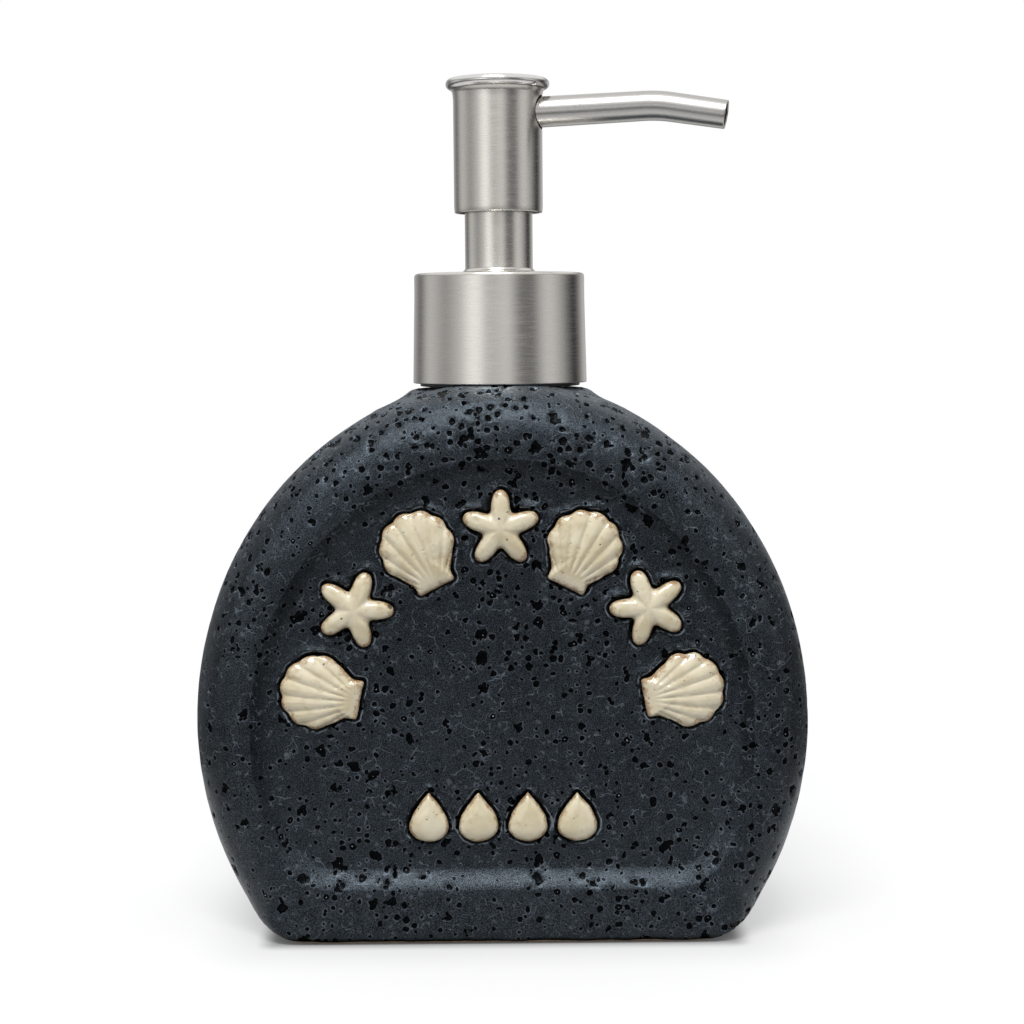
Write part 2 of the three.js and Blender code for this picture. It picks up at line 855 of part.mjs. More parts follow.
function actuatorCore() {
  const socketRadius = socketBore + coreSocketWall;
  const body = turned(
    [
      [0, coreBottom - coreSocketReach],
      [socketRadius, coreBottom - coreSocketReach],
      [socketRadius, coreBottom],
      [coreRadius, coreBottom],
      [coreRadius, coreBottom + coreLength],
      [0, coreBottom + coreLength],
    ],
    innerSteps,
  );
  const socket = turned(
    [
      [0, coreBottom - coreSocketReach - cutMargin],
      [socketBore, coreBottom - coreSocketReach - cutMargin],
      [socketBore, socketEnd],
      [channelRadius, socketEnd],
      [channelRadius, spoutHeight],
      [0, spoutHeight],
    ],
    innerSteps,
  );
  return body
    .subtract(socket)
    .subtract(channelRod(channelRadius, -channelRadius / 2, spoutRootReach, spoutHeight))
    .subtract(
      channelRod(spoutRadius + slipGap, spoutRootReach - slipGap, 2 * headRadius, spoutHeight),
    );
}

function headShell() {
  const tube = turnedRing(
    [
      [headBore, headBottom],
      [headRadius - headWall / 3, headBottom],
      [headRadius, headBottom + headWall],
      ...arc(headRadius + headFlare, headTop - headFlare, headFlare, 180, 90, cornerSteps),
      [headBore, headTop],
    ],
    roundSteps,
  );
  return tube.subtract(channelRod(spoutRadius + slipGap, 0, 2 * headRadius, spoutHeight));
}

function headCap() {
  const beadRadius = capPlateRadius - capPlateBead;
  const beadHeight = headTop + seatGap + capPlateBead;
  const plateTop = beadHeight + capPlateBead - capPlateDish;
  return turned(
    [
      [0, headTop + seatGap],
      ...arc(beadRadius, beadHeight, capPlateBead, -90, 90, beadSteps),
      [beadRadius - capPlateBead, plateTop],
      [0, plateTop],
    ],
    roundSteps,
  );
}

// Height of the spout's axis above its root at a distance from the pump's axis: a straight rise,
// a soft bend and a straight fall.
function spoutLift(reach) {
  const rise = Math.tan(THREE.MathUtils.degToRad(spoutRise));
  const fall = Math.tan(THREE.MathUtils.degToRad(spoutFall));
  const past = reach - spoutBendReach;
  const peak = rise * spoutBendReach;
  if (past < -spoutBendSpan) return rise * reach;
  if (past > spoutBendSpan) return peak - fall * past;
  const share = (past + spoutBendSpan) / (2 * spoutBendSpan);
  const start = peak - rise * spoutBendSpan;
  const end = peak - fall * spoutBendSpan;
  return (1 - share) ** 2 * start + 2 * share * (1 - share) * peak + share ** 2 * end;
}

// One ring of the spout's outside, or of its bore where a wall is taken off.
function spoutRing(reach, wall) {
  const small = 0.01;
  const slope = Math.atan2(spoutLift(reach + small) - spoutLift(reach - small), 2 * small);
  const share = (reach - spoutRootReach) / (spoutTipReach - spoutRootReach);
  const radius = THREE.MathUtils.lerp(spoutRadius, spoutTipRadius, share) - wall;
  return Array.from({ length: innerSteps }, (_, i) => {
    const angle = (2 * Math.PI * i) / innerSteps;
    const up = radius * Math.sin(angle);
    return new THREE.Vector3(
      reach - up * Math.sin(slope),
      radius * Math.cos(angle),
      spoutHeight + spoutLift(reach) + up * Math.cos(slope),
    );
  });
}

function spoutTube() {
  const bendFrom = spoutBendReach - spoutBendSpan;
  const bend = Array.from(
    { length: bendSteps + 1 },
    (_, i) => bendFrom + (2 * spoutBendSpan * i) / bendSteps,
  );
  const stations = [spoutRootReach, headRadius, ...bend, spoutTipReach];
  const bored = [spoutRootReach - cutMargin, ...stations, spoutTipReach + cutMargin];
  return loft(stations.map((reach) => spoutRing(reach, 0))).subtract(
    loft(bored.map((reach) => spoutRing(reach, spoutWall))),
  );
}

// ---- Finishes ----

const stoneware = { color: 0x343a45, roughness: 0.62, metalness: 0 };
const creamGlaze = { color: 0xe6dbb9, roughness: 0.22, metalness: 0 };
const brushedSteel = { color: 0xb4b1aa, roughness: 0.34, metalness: 1 };
const blackPlastic = { color: 0x15161a, roughness: 0.45, metalness: 0 };
const naturalPlastic = { color: 0xe9ecea, roughness: 0.4, metalness: 0 };
const sealFoam = { color: 0xdadcd6, roughness: 0.7, metalness: 0 };
const springSteel = { color: 0xa7aaac, roughness: 0.25, metalness: 1 };
const polishedSteel = { color: 0xc4c7c9, roughness: 0.1, metalness: 1 };

// ---- Assembly ----

const dispenser = new THREE.Group();

function place(parent, name, made, finish) {
  const mesh = new THREE.Mesh(geometryOf(made), new THREE.MeshStandardMaterial(finish));
  mesh.name = name;
  parent.add(mesh);
  return mesh;
}

place(dispenser, "bottle", bottle(), stoneware);

const reliefs = new THREE.Group();
reliefs.position.y = -(flaskThickness / 2 - panelDepth + lutingGap);
dispenser.add(reliefs);

const flatHalfWidth = flaskHalfWidth - panelSideMargin - panelSlope;
const flatRise = crownRise - panelCrownMargin - panelSlope;
const arcHalfWidth = flatHalfWidth - shellLength / 2 - reliefSideMargin;
const arcRise = flatRise - shellLength / 2 - reliefCrownMargin;
const arcStep = (reliefWidth + reliefPitchGap) / arcHalfWidth;
for (let i = 0; i < reliefCount; i++) {
  const lean = arcStep * (i - (reliefCount - 1) / 2);
  const isShell = i % 2 === 0;
  const outline = isShell ? shellOutline() : starOutline();
  const name = (isShell ? "relief_shell_" : "relief_star_") + (Math.floor(i / 2) + 1);
  const piece = place(reliefs, name, relief(outline), creamGlaze);
  piece.position.x = arcHalfWidth * Math.sin(lean);
  piece.position.z = widestHeight + arcRise * Math.cos(lean);
  piece.rotation.y = lean;
}
for (let i = 0; i < dropCount; i++) {
  const piece = place(reliefs, `relief_drop_${i + 1}`, relief(dropOutline()), creamGlaze);
  piece.position.x = (dropWidth + dropPitchGap) * (i - (dropCount - 1) / 2);
  piece.position.z = panelFoot + panelSlope + dropFootMargin + dropLength / 2;
}

place(dispenser, "neck_washer", neckWasher(), sealFoam);
place(dispenser, "closure_cap", closureCap(), blackPlastic);
place(dispenser, "collar_shell", collarShell(), brushedSteel);
place(dispenser, "pump_housing", pumpHousing(), naturalPlastic);
place(dispenser, "chaplet", chaplet(), blackPlastic);
place(dispenser, "sleeve", sleeve(), brushedSteel);
place(dispenser, "dip_tube", dipTube(), naturalPlastic);
place(dispenser, "valve_ball", valveBall(), polishedSteel);
place(dispenser, "return_spring", returnSpring(), springSteel);
place(dispenser, "piston", piston(), naturalPlastic);
place(dispenser, "piston_stem", pistonStem(), naturalPlastic);
place(dispenser, "stem_plug", stemPlug(), naturalPlastic);
place(dispenser, "actuator_core", actuatorCore(), blackPlastic);
place(dispenser, "head_shell", headShell(), brushedSteel);
place(dispenser, "head_cap", headCap(), brushedSteel);

const spout = place(dispenser, "spout_tube", spoutTube(), brushedSteel);
spout.rotation.z = THREE.MathUtils.degToRad(spoutHeading);

export default dispenser;
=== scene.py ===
import bmesh
import bpy
from math import atan2, ceil, cos, hypot, pi, radians, sin, sqrt, tan
from mathutils import Matrix, Vector, noise


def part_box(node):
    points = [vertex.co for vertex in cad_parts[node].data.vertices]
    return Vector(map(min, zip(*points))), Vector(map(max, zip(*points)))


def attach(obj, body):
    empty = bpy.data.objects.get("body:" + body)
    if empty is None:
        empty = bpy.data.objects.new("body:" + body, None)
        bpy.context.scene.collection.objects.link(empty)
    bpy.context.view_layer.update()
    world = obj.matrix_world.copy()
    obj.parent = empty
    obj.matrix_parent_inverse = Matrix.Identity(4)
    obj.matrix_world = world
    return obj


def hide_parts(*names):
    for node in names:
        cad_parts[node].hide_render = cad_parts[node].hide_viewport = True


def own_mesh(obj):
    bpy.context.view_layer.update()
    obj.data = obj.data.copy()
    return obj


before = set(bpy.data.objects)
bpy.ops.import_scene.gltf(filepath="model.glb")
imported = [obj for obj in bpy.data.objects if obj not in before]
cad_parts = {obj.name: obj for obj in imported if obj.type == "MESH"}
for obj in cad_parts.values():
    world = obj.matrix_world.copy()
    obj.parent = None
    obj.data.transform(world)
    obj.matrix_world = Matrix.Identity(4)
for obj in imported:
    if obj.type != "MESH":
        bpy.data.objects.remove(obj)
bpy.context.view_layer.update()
scene = bpy.context.scene
drawing = {"tree": None}  # the node tree that the node helpers add to


def put(kind, inputs=None, **options):
    # one node, in a shader or in geometry alike
    node = drawing["tree"].nodes.new(kind)
    for name, value in options.items():
        setattr(node, name, value)
    feed(node, inputs or {})
    return node


def feed(node, inputs):
    for name, value in inputs.items():
        if isinstance(value, bpy.types.NodeSocket):
            drawing["tree"].links.new(value, node.inputs[name])
        else:
            node.inputs[name].default_value = value


def maths(operation, *values):
    return put("ShaderNodeMath", dict(enumerate(values)), operation=operation).outputs[0]


def chained(operation):
    # the same step over two or more values, from the left
    def made(value, *others):
        for other in others:
            value = maths(operation, value, other)
        return value

    return made


times, plus, minus, larger = [chained(name) for name in ("MULTIPLY", "ADD", "SUBTRACT", "MAXIMUM")]


def vectorMaths(operation, vector, other=None):
    sockets = {0: vector}
    if other is not None:
        sockets["Scale" if operation == "SCALE" else 1] = other
    made = put("ShaderNodeVectorMath", sockets, operation=operation).outputs
    return made["Value" if operation == "LENGTH" else "Vector"]


def axis(vector, letter):
    return put("ShaderNodeSeparateXYZ", {0: vector}).outputs[letter]


def ramped(value, low, high, start=0.0, end=1.0, smooth=True):
    kind = "SMOOTHSTEP" if smooth else "LINEAR"
    sockets = {"Value": value, "From Min": low, "From Max": high, "To Min": start, "To Max": end}
    return put("ShaderNodeMapRange", sockets, interpolation_type=kind).outputs[0]


def fading(value, low, high, start=1.0):
    return ramped(value, low, high, start, 0.0)


def mixed(share, a, b):
    return put("ShaderNodeMix", {0: share, 6: a, 7: b}, data_type="RGBA").outputs[2]


def noisy(place, size, detail=2.0, roughness=0.5, colour=False):
    sockets = {"Vector": place, "Scale": 1 / size, "Detail": detail, "Roughness": roughness}
    return put("ShaderNodeTexNoise", sockets).outputs["Color" if colour else "Fac"]


def voronoi(place, cell, **options):
    return put("ShaderNodeTexVoronoi", {"Vector": place, "Scale": 1 / cell}, **options).outputs


def cellSpots(place, cell, letter, rare, low, high, soft):
    # a round spot in each cell, of a chance radius; where that is below zero there is none
    cells = voronoi(place, cell)
    radius = ramped(axis(cells["Color"], letter), rare, 1.0, low, high, False)
    return ramped(minus(radius, times(cells["Distance"], cell)), 0.0, soft)


def stretched(place, scale):
    return put("ShaderNodeMapping", {"Vector": place, "Scale": scale}).outputs[0]


def stored(name, output="Fac"):
    return put("ShaderNodeAttribute", attribute_name=name).outputs[output]


def bumped(height, distance, strength=1.0, under=None):
    sockets = {"Height": height, "Distance": distance, "Strength": strength}
    if under:
        sockets["Normal"] = under
    return put("ShaderNodeBump", sockets).outputs[0]


def startMaterial(name):
    material = bpy.data.materials.new(name)
    material.use_nodes = True
    drawing["tree"] = material.node_tree
    return material, material.node_tree.nodes["Principled BSDF"]


def ownPlace():
    return put("ShaderNodeTexCoord").outputs["Object"]


def startTree(name, inputs):
    tree = bpy.data.node_groups.new(name, "GeometryNodeTree")
    drawing["tree"] = tree
    for label, kind in {"Geometry": "Geometry", **inputs}.items():
        tree.interface.new_socket(label, in_out="INPUT", socket_type="NodeSocket" + kind)
    tree.interface.new_socket("Geometry", in_out="OUTPUT", socket_type="NodeSocketGeometry")
    return put("NodeGroupInput").outputs


def endTree(made, material):
    real = put("GeometryNodeRealizeInstances", {"Geometry": made}).outputs[0]
    painted = put("GeometryNodeSetMaterial", {"Geometry": real, "Material": material}).outputs[0]
    put("NodeGroupOutput", {0: painted})
    return drawing["tree"]


def awayFrom(piece, target):
    shape = put("GeometryNodeObjectInfo", {"Object": piece}).outputs["Geometry"]
    return put("GeometryNodeProximity", {0: shape}, target_element=target).outputs["Distance"]


def store(made, name, value, kind="FLOAT"):
    sockets = {"Geometry": made, "Name": name, "Value": value}
    return put("GeometryNodeStoreNamedAttribute", sockets, data_type=kind, domain="POINT").outputs[0]


def moved(made, way, value):
    return put("GeometryNodeSetPosition", {"Geometry": made, way: value}).outputs[0]


def grow(piece, tree, values):
    # runs a tree on a piece and leaves the plain mesh
    modifier = piece.modifiers.new(tree.name, "NODES")
    modifier.node_group = tree
    for socket in tree.interface.items_tree:
        if socket.item_type == "SOCKET" and socket.in_out == "INPUT" and socket.name in values:
            modifier[socket.identifier] = values[socket.name]
    bake(piece)


def bake(piece):
    view = bpy.context.evaluated_depsgraph_get()
    made = bpy.data.meshes.new_from_object(piece.evaluated_get(view), preserve_all_data_layers=True,
                                           depsgraph=view)
    old = piece.data
    piece.modifiers.clear()
    piece.data = made
    made.name = piece.name
    bpy.data.meshes.remove(old)


def applied(piece, kind, **options):
    modifier = piece.modifiers.new(kind, kind)
    for name, value in options.items():
        setattr(modifier, name, value)
    bake(piece)


def placed(name, data):
    piece = bpy.data.objects.new(name, data)
    scene.collection.objects.link(piece)
    return piece


def pieceOf(name, bm):
    bmesh.ops.recalc_face_normals(bm, faces=bm.faces)
    mesh = bpy.data.meshes.new(name)
    bm.to_mesh(mesh)
    bm.free()
    return placed(name, mesh)


def cut(piece, tool, operation="DIFFERENCE"):
    applied(piece, "BOOLEAN", object=tool, operation=operation, solver="MANIFOLD")
    bpy.data.objects.remove(tool)


def smoothOver(piece, angle=40):
    piece.data.shade_smooth()
    piece.data.set_sharp_from_angle(angle=radians(angle))


def finished(piece, body, look, slot, *nodes):
    piece.data.materials.clear()
    piece.data.materials.append(finish[look])
    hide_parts(*nodes)
    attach(piece, body)
    return piece


def eased(share):
    return share * share * (3 - 2 * share)


def circle(across, deep, height, steps):
    turns = [2 * pi * k / steps for k in range(steps)]
    return [(across * cos(turn), deep * sin(turn), height) for turn in turns]


def softProfile(corners, closed=True, steps=5):
    # corners are (radius, height, fillet); straights get a holding point beside each fillet
    points = []
    count = len(corners)
    for i, (r, z, fillet) in enumerate(corners):
        here = Vector((r, z))
        if fillet == 0 or (not closed and i in (0, count - 1)):
            points.append(here)
            continue
        before = Vector(corners[i - 1][:2]) - here
        after = Vector(corners[(i + 1) % count][:2]) - here
        reach = min(fillet, before.length * 0.45, after.length * 0.45)
        start = here + before.normalized() * reach
        end = here + after.normalized() * reach
        hold = reach * 0.25
        points.append(start + before.normalized() * hold)
        for k in range(steps + 1):
            t = k / steps
            points.append(start * (1 - t) ** 2 + here * 2 * t * (1 - t) + end * t * t)
        points.append(end + after.normalized() * hold)
    return [(p.x, p.y) for p in points]


def skinned(name, rings, runs):
    # faces between rings of points, unrolled round and along into a UV map; a single point is a pole
    bm = bmesh.new()
    unwrap = bm.loops.layers.uv.new("round")
    steps = max(len(ring) for ring in rings)
    rows = []
    for ring in rings:
        row = [bm.verts.new(p) for p in ring]
        rows.append(row if len(row) == steps else row * steps)
    for i in range(len(runs) - 1):
        low, high = rows[i], rows[(i + 1) % len(rows)]
        for k in range(steps):
            after, left, right = (k + 1) % steps, k / steps, (k + 1) / steps
            corners = [low[k], low[after], high[after], high[k]]
            places = [(left, runs[i]), (right, runs[i]), (right, runs[i + 1]), (left, runs[i + 1])]
            kept = [n for n in range(4) if corners[n] not in corners[:n]]
            if len(kept) > 2:
                face = bm.faces.new([corners[n] for n in kept])
                for loop, n in zip(face.loops, kept):
                    loop[unwrap].uv = places[n]
    piece = pieceOf(name, bm)
    smoothOver(piece)
    return piece


def lathe(name, profile, closed=True, steps=128):
    # turns a profile of (radius, height) about Z
    rings = [circle(r, r, z, steps) if r > 1e-7 else [(0, 0, z)] for r, z in profile]
    line = profile + profile[:1] if closed else profile
    runs = [0.0]
    for a, b in zip(line, line[1:]):
        runs.append(runs[-1] + hypot(b[0] - a[0], b[1] - a[1]))
    return skinned(name, rings, runs)


def turned(name, corners, closed=True, steps=128, fillets=5):
    return lathe(name, softProfile(corners, closed, fillets), closed, steps)


def loftRings(name, rings):
    # closed rings with the same number of points, and a fan over each end
    bm = bmesh.new()
    rows = [[bm.verts.new(p) for p in ring] for ring in rings]
    count = len(rows[0])
    for low, high in zip(rows, rows[1:]):
        for k in range(count):
            bm.faces.new((low[k], low[(k + 1) % count], high[(k + 1) % count], high[k]))
    for row in (rows[0], rows[-1]):
        middle = bm.verts.new(sum((v.co for v in row), Vector()) / count)
        for k in range(count):
            bm.faces.new((row[k], row[(k + 1) % count], middle))
    return pieceOf(name, bm)


def rod(name, radius, start, end, steps=64):
    # a plain cutter along any line
    along = Vector(end) - Vector(start)
    turn = along.to_track_quat("Z", "Y").to_matrix()
    rings = [[centre + turn @ Vector(p) for p in circle(radius, radius, 0, steps)]
             for centre in (Vector(start), Vector(start) + along)]
    return loftRings(name, rings)


def brick(name, low, high):
    bm = bmesh.new()
    bmesh.ops.create_cube(bm, size=1)
    middle = (Vector(low) + Vector(high)) / 2
    size = Vector(high) - Vector(low)
    for v in bm.verts:
        v.co = Vector((v.co.x * size.x, v.co.y * size.y, v.co.z * size.z)) + middle
    return pieceOf(name, bm)


def spanOf(node):
    low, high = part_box(node)
    return max(high.x, high.y), low.z, high.z


def helixRidge(name, root, crest, start, look, steps=96):
    # a right-hand ridge that runs out at both ends
    total = round(look["turns"] * steps)
    rings = []
    for i in range(total + 1):
        angle = 2 * pi * i / steps
        height = start + look["pitch"] * i / steps
        risen = eased(min(1.0, min(i, total - i) / (steps * look["runout"])))
        top = root + (crest - root) * (look["endShare"] + (1 - look["endShare"]) * risen)
        wide, narrow = look["rootWidth"] / 2, look["crestWidth"] / 2
        section = [(root, -wide), (top * 0.97 + root * 0.03, -narrow * 1.25), (top, -narrow * 0.7),
                   (top, narrow * 0.7), (top * 0.97 + root * 0.03, narrow * 1.25), (root, wide)]
        rings.append([(r * cos(angle), r * sin(angle), height + z) for r, z in section])
    return loftRings(name, rings)


def darkGlaze():
    # satin slate glaze: fine grain, crawling threads, pinholes and bare clay at the foot
    look = {
        "low": (0.0010, 0.0014, 0.0020, 1), "high": (0.0150, 0.0185, 0.0230, 1),
        "speck": (0.120, 0.140, 0.165, 1), "paintedLipHighlight": (0.165, 0.190, 0.220, 1),
        "hole": (0.0005, 0.0005, 0.0006, 1), "glint": (0.42, 0.46, 0.50, 1),
        "clay": (0.280, 0.200, 0.135, 1), "paleClay": (0.46, 0.35, 0.245, 1), "clayTop": 0.0006,
        "grain": 0.00017, "mottle": 0.0031, "cloud": 0.021, "speckSize": 0.00022,
        "threadCell": 0.0027, "threadWarp": 0.0026, "threadBreak": 0.0022,
        "lipHighlightBreak": 0.0016, "wander": 0.0002, "pinhole": 0.0013,
        "tint": (0.71, 0.86, 1.0, 1), "gloss": 0.60, "smooth": 0.31, "matt": 0.47,
        # ramps over the height and the way out from the middle: from, to, and the values there
        "edgeGloss": (0.0150, 0.0215, 2.05, 0.72), "topGloss": (0.088, 0.100, 1.0, 1.42),
        "footGloss": (0.012, 0.045, 0.85, 1.0), "landOut": (0.0215, 0.0222),
        "landEdge": (0.0226, 0.0239, 1.0, 0.45), "landRise": (0.035, 0.075, 0.25, 1.0),
        "landTop": (0.090, 0.098), "shadeRise": (0.020, 0.040), "poolTop": (0.014, 0.024),
    }
    material, shader = startMaterial("darkGlaze")
    rest = stored("restPlace", "Vector")
    pits = pitField(rest)

    grain = noisy(rest, look["grain"], 1, 0.6)
    mottle = noisy(rest, look["mottle"], 3, 0.55)
    cloud = noisy(rest, look["cloud"], 2, 0.5)
    depth = plus(times(grain, 0.9), times(mottle, 0.1), ramped(cloud, 0.3, 0.7, -0.01, 0.015))
    tone = ramped(depth, 0.40, 0.62)
    colour = mixed(tone, look["low"], look["high"])

    # painted shade darkens the step down to the sunk panel, and the glaze is glossy along its foot
    step = stored("step")
    height, proud = axis(rest, "Z"), maths("ABSOLUTE", axis(rest, "Y"))
    inPanel = times(ramped(step, -0.88, -0.74), fading(stored("landAway"), 0.0050, 0.0058))
    paintedStepShade = times(inPanel, ramped(height, *look["shadeRise"]), fading(step, -0.3, 0.85))
    pooled = times(inPanel, fading(height, *look["poolTop"]), fading(step, 0.76, 0.88))
    colour = mixed(times(paintedStepShade, 0.5), colour, look["low"])
    fleck = noisy(rest, look["speckSize"], 1, 0.5)
    flecked = times(ramped(fleck, 0.68, 0.80), ramped(mottle, 0.42, 0.62, 0.25, 1.0))
    colour = mixed(times(flecked, 0.7), colour, look["speck"])

    # hair-thin light marks, on warped cell borders and only here and there
    bend = vectorMaths("SCALE", noisy(rest, 0.0024, 2, 0.5, colour=True), look["threadWarp"])
    cells = voronoi(vectorMaths("ADD", rest, bend), look["threadCell"], feature="DISTANCE_TO_EDGE")
    thread = times(fading(cells["Distance"], 0.010, 0.036),
                   ramped(noisy(rest, look["threadBreak"], 2, 0.6), 0.52, 0.62))
    colour = mixed(times(thread, 0.55), colour, look["speck"])
    lip = times(pits["rim"], ramped(mottle, 0.4, 0.62, 0.1, 0.8))
    colour = mixed(times(lip, 0.5), colour, look["speck"])

    # painted highlight: a broken light line where the slip rises round each relief, and painted shade in the
    # gap beside it
    shift = ramped(mottle, 0.3, 0.7, -look["wander"], look["wander"], False)
    beside = plus(stored("beside"), shift)
    paintedLipHighlight = times(ramped(beside, 0.00066, 0.00080), fading(beside, 0.00086, 0.00100),
                 ramped(noisy(rest, look["lipHighlightBreak"], 2, 0.6), 0.43, 0.55))
    colour = mixed(paintedLipHighlight, colour, look["paintedLipHighlight"])
    pins = cellSpots(rest, look["pinhole"], "Y", 0.45, -0.0001, 0.00026, 0.00008)
    # pits and pinholes go near-black; the gap beside each relief takes the same colour as painted shade
    hollow = larger(pits["inside"], pins, fading(beside, 0.0002, 0.0006, 0.75))
    colour = mixed(hollow, colour, look["hole"])
    # painted glint: a pale spot in the middle of a few pits
    colour = mixed(times(pits["glint"], 0.8), colour, look["glint"])

    # bare clay under the foot and in an uneven line just above it
    wander = ramped(noisy(rest, 0.006, 2, 0.5), 0.3, 0.7, -look["wander"], look["wander"], False)
    level = plus(height, wander)
    bare = fading(level, look["clayTop"] - 0.0002, look["clayTop"] + 0.0001)
    earth = mixed(noisy(rest, 0.0007, 3, 0.6), look["clay"], look["paleClay"])
    edge = fading(level, look["clayTop"] + 0.0002, look["clayTop"] + 0.0009, 0.95)
    colour = mixed(edge, colour, look["hole"])
    colour = mixed(bare, colour, earth)

    rough = minus(ramped(grain, 0.3, 0.7, look["smooth"], look["matt"], False), times(hollow, 0.16))
    rough = larger(rough, times(bare, 0.85))
    rounded = times(ramped(proud, *look["edgeGloss"]), ramped(height, *look["topGloss"]),
                    ramped(height, *look["footGloss"]))
    # the land round the panel is glossier than the panel, more so at its round edge and higher up
    land = times(ramped(proud, *look["landOut"]), minus(1.0, inPanel), ramped(proud, *look["landEdge"]),
                 ramped(height, *look["landRise"]), fading(height, *look["landTop"]))
    gloss = times(maths("MULTIPLY_ADD", hollow, -0.52, look["gloss"]), rounded)
    gains = ((land, 0.85, 1.0), (paintedStepShade, -0.45, 1.0), (pooled, 1.3, 1.0), (tone, 1.0, 0.35))
    for share, gain, base in gains:
        gloss = times(gloss, maths("MULTIPLY_ADD", share, gain, base))
    gloss = times(gloss, minus(1.0, edge))
    fine = bumped(grain, 0.00006, 0.8)
    fine = bumped(plus(thread, flecked), 0.00006, 0.8, fine)
    fine = bumped(minus(1.0, hollow), 0.00026, 1.0, fine)
    feed(shader, {"Base Color": colour, "Roughness": rough, "Normal": fine,
                  "Specular IOR Level": gloss, "Specular Tint": look["tint"]})
    return material


def pitField(place):
    # one pattern for the mesh and the colour: round pits and larger ragged ones, in clusters
    kinds = [
        {"cell": 0.00165, "small": 0.00006, "large": 0.00066, "warp": 0.00042, "soft": 0.00006},
        {"cell": 0.0034, "small": -0.00100, "large": 0.00122, "warp": 0.00120, "soft": 0.00008},
    ]
    crowd = ramped(noisy(place, 0.016, 2, 0.55), 0.35, 0.65, -0.00012, 0.00012)
    high = ramped(axis(place, "Z"), 0.078, 0.098, 0.0, 0.00018)
    wander = noisy(place, 0.0013, 1.5, 0.5, colour=True)
    wander = vectorMaths("SUBTRACT", wander, (0.5, 0.5, 0.5))
    found = {}
    for look in kinds:
        warped = vectorMaths("ADD", place, vectorMaths("SCALE", wander, 2 * look["warp"]))
        cells = voronoi(warped, look["cell"])
        chance = axis(cells["Color"], "X")
        radius = plus(ramped(chance, 0.0, 1.0, look["small"], look["large"], False), crowd, high)
        away = times(cells["Distance"], look["cell"])
        deep = minus(radius, away)
        parts = {
            "inside": ramped(deep, 0.0, look["soft"]),
            "rim": times(ramped(deep, -0.00026, -0.00006), fading(deep, 0.0, 0.00005)),
            "glint": times(fading(away, 0.00007, 0.00015), ramped(chance, 0.90, 0.93)),
            "broad": times(ramped(radius, 0.00048, 0.00056),
                           ramped(deep, -0.00045, look["soft"], 0.0, 1.0, False)),
        }
        for name, value in parts.items():
            found[name] = larger(found[name], value) if name in found else value
    return found


def creamGlaze():
    # glossy cream glaze that breaks to tan on edges, with brown specks and pinholes
    look = {
        "cream": (0.600, 0.520, 0.345, 1), "pale": (0.690, 0.620, 0.455, 1),
        "tan": (0.33, 0.195, 0.090, 1), "brown": (0.045, 0.024, 0.012, 1),
        "specks": ((0.0017, -0.00011, 0.00028), (0.0050, -0.0011, 0.00062)),  # cell, radius from and to
    }
    material, shader = startMaterial("creamGlaze")
    place = ownPlace()
    colour = mixed(ramped(noisy(place, 0.0042, 2), 0.35, 0.65), look["cream"], look["pale"])
    ragged = ramped(noisy(place, 0.0011, 3, 0.65), 0.25, 0.75, -0.17, 0.17, False)
    ragged = plus(stored("edge"), ragged)
    colour = mixed(ramped(ragged, 0.84, 1.02, 0.0, 0.85), colour, look["tan"])
    colour = mixed(ramped(ragged, 1.05, 1.13, 0.0, 0.8), colour, look["brown"])
    warp = vectorMaths("SCALE", noisy(place, 0.0009, 2, 0.6, colour=True), 0.0006)
    warped = vectorMaths("ADD", place, warp)
    marks = larger(*[cellSpots(warped, cell, "X", 0.0, low, high, 0.0001)
                     for cell, low, high in look["specks"]])
    halo = mixed(ramped(noisy(place, 0.0017, 2), 0.58, 0.78, 0.0, 0.35), colour, look["tan"])
    colour = mixed(times(marks, 0.85), halo, look["brown"])
    waves = bumped(noisy(place, 0.0016, 2, 0.5), 0.00016, 0.6)
    dents = bumped(minus(1.0, marks), 0.00012, 0.9, waves)
    feed(shader, {
        "Base Color": colour, "Normal": dents,
        "Roughness": ramped(marks, 0.0, 1.0, 0.16, 0.5, False),
        "Specular IOR Level": 0.55, "Coat Weight": 0.6, "Coat Roughness": 0.05,
    })
    return material


def steel(name, lines, rough, colour, scratches=0.5):
    # brushed round the piece or along it, as its own UV map runs
    material, shader = startMaterial(name)
    around = put("ShaderNodeUVMap", uv_map="round").outputs[0]
    broad, narrow = ((0.5, 60, 1), (1.0, 210, 1)) if lines == "round" else ((9, 0.35, 1), (34, 1.3, 1))
    coarse = noisy(stretched(around, broad), 0.06, 2, 0.6)
    fine = noisy(stretched(around, narrow), 0.05, 2, 0.6)
    both = plus(times(coarse, 0.3), times(fine, 0.7))
    smear = noisy(ownPlace(), 0.011, 3, 0.6)
    worn = plus(both, ramped(smear, 0.3, 0.7, -0.03, 0.03, False))
    dark = tuple(0.94 * c for c in colour[:3]) + (1,)
    feed(shader, {
        "Base Color": mixed(ramped(worn, 0.36, 0.64), dark, colour), "Metallic": 1.0,
        "Roughness": ramped(worn, 0.3, 0.7, rough - 0.05, rough + 0.07, False),
        "Normal": bumped(both, 0.000007, scratches),
        "Anisotropic": 0.6, "Anisotropic Rotation": 0.25 if lines == "round" else 0.0,
        "Tangent": put("ShaderNodeTangent", direction_type="UV_MAP", uv_map="round").outputs[0],
    })
    return material


def plastic(name, colour, rough, grain, through=0.0):
    material, shader = startMaterial(name)
    place = ownPlace()
    speck = noisy(place, grain, 3, 0.6)
    shade = tuple(0.82 * c for c in colour[:3]) + (1,)
    flow = noisy(stretched(place, (1, 1, 0.25)), 0.006, 2, 0.5)
    feed(shader, {
        "Base Color": mixed(ramped(flow, 0.3, 0.7), shade, colour),
        "Roughness": ramped(speck, 0.3, 0.7, rough - 0.06, rough + 0.08, False),
        "Normal": bumped(speck, 0.00003, 0.5), "Specular IOR Level": 0.45,
        "Subsurface Weight": through, "Subsurface Radius": (0.002, 0.002, 0.002),
    })
    return material


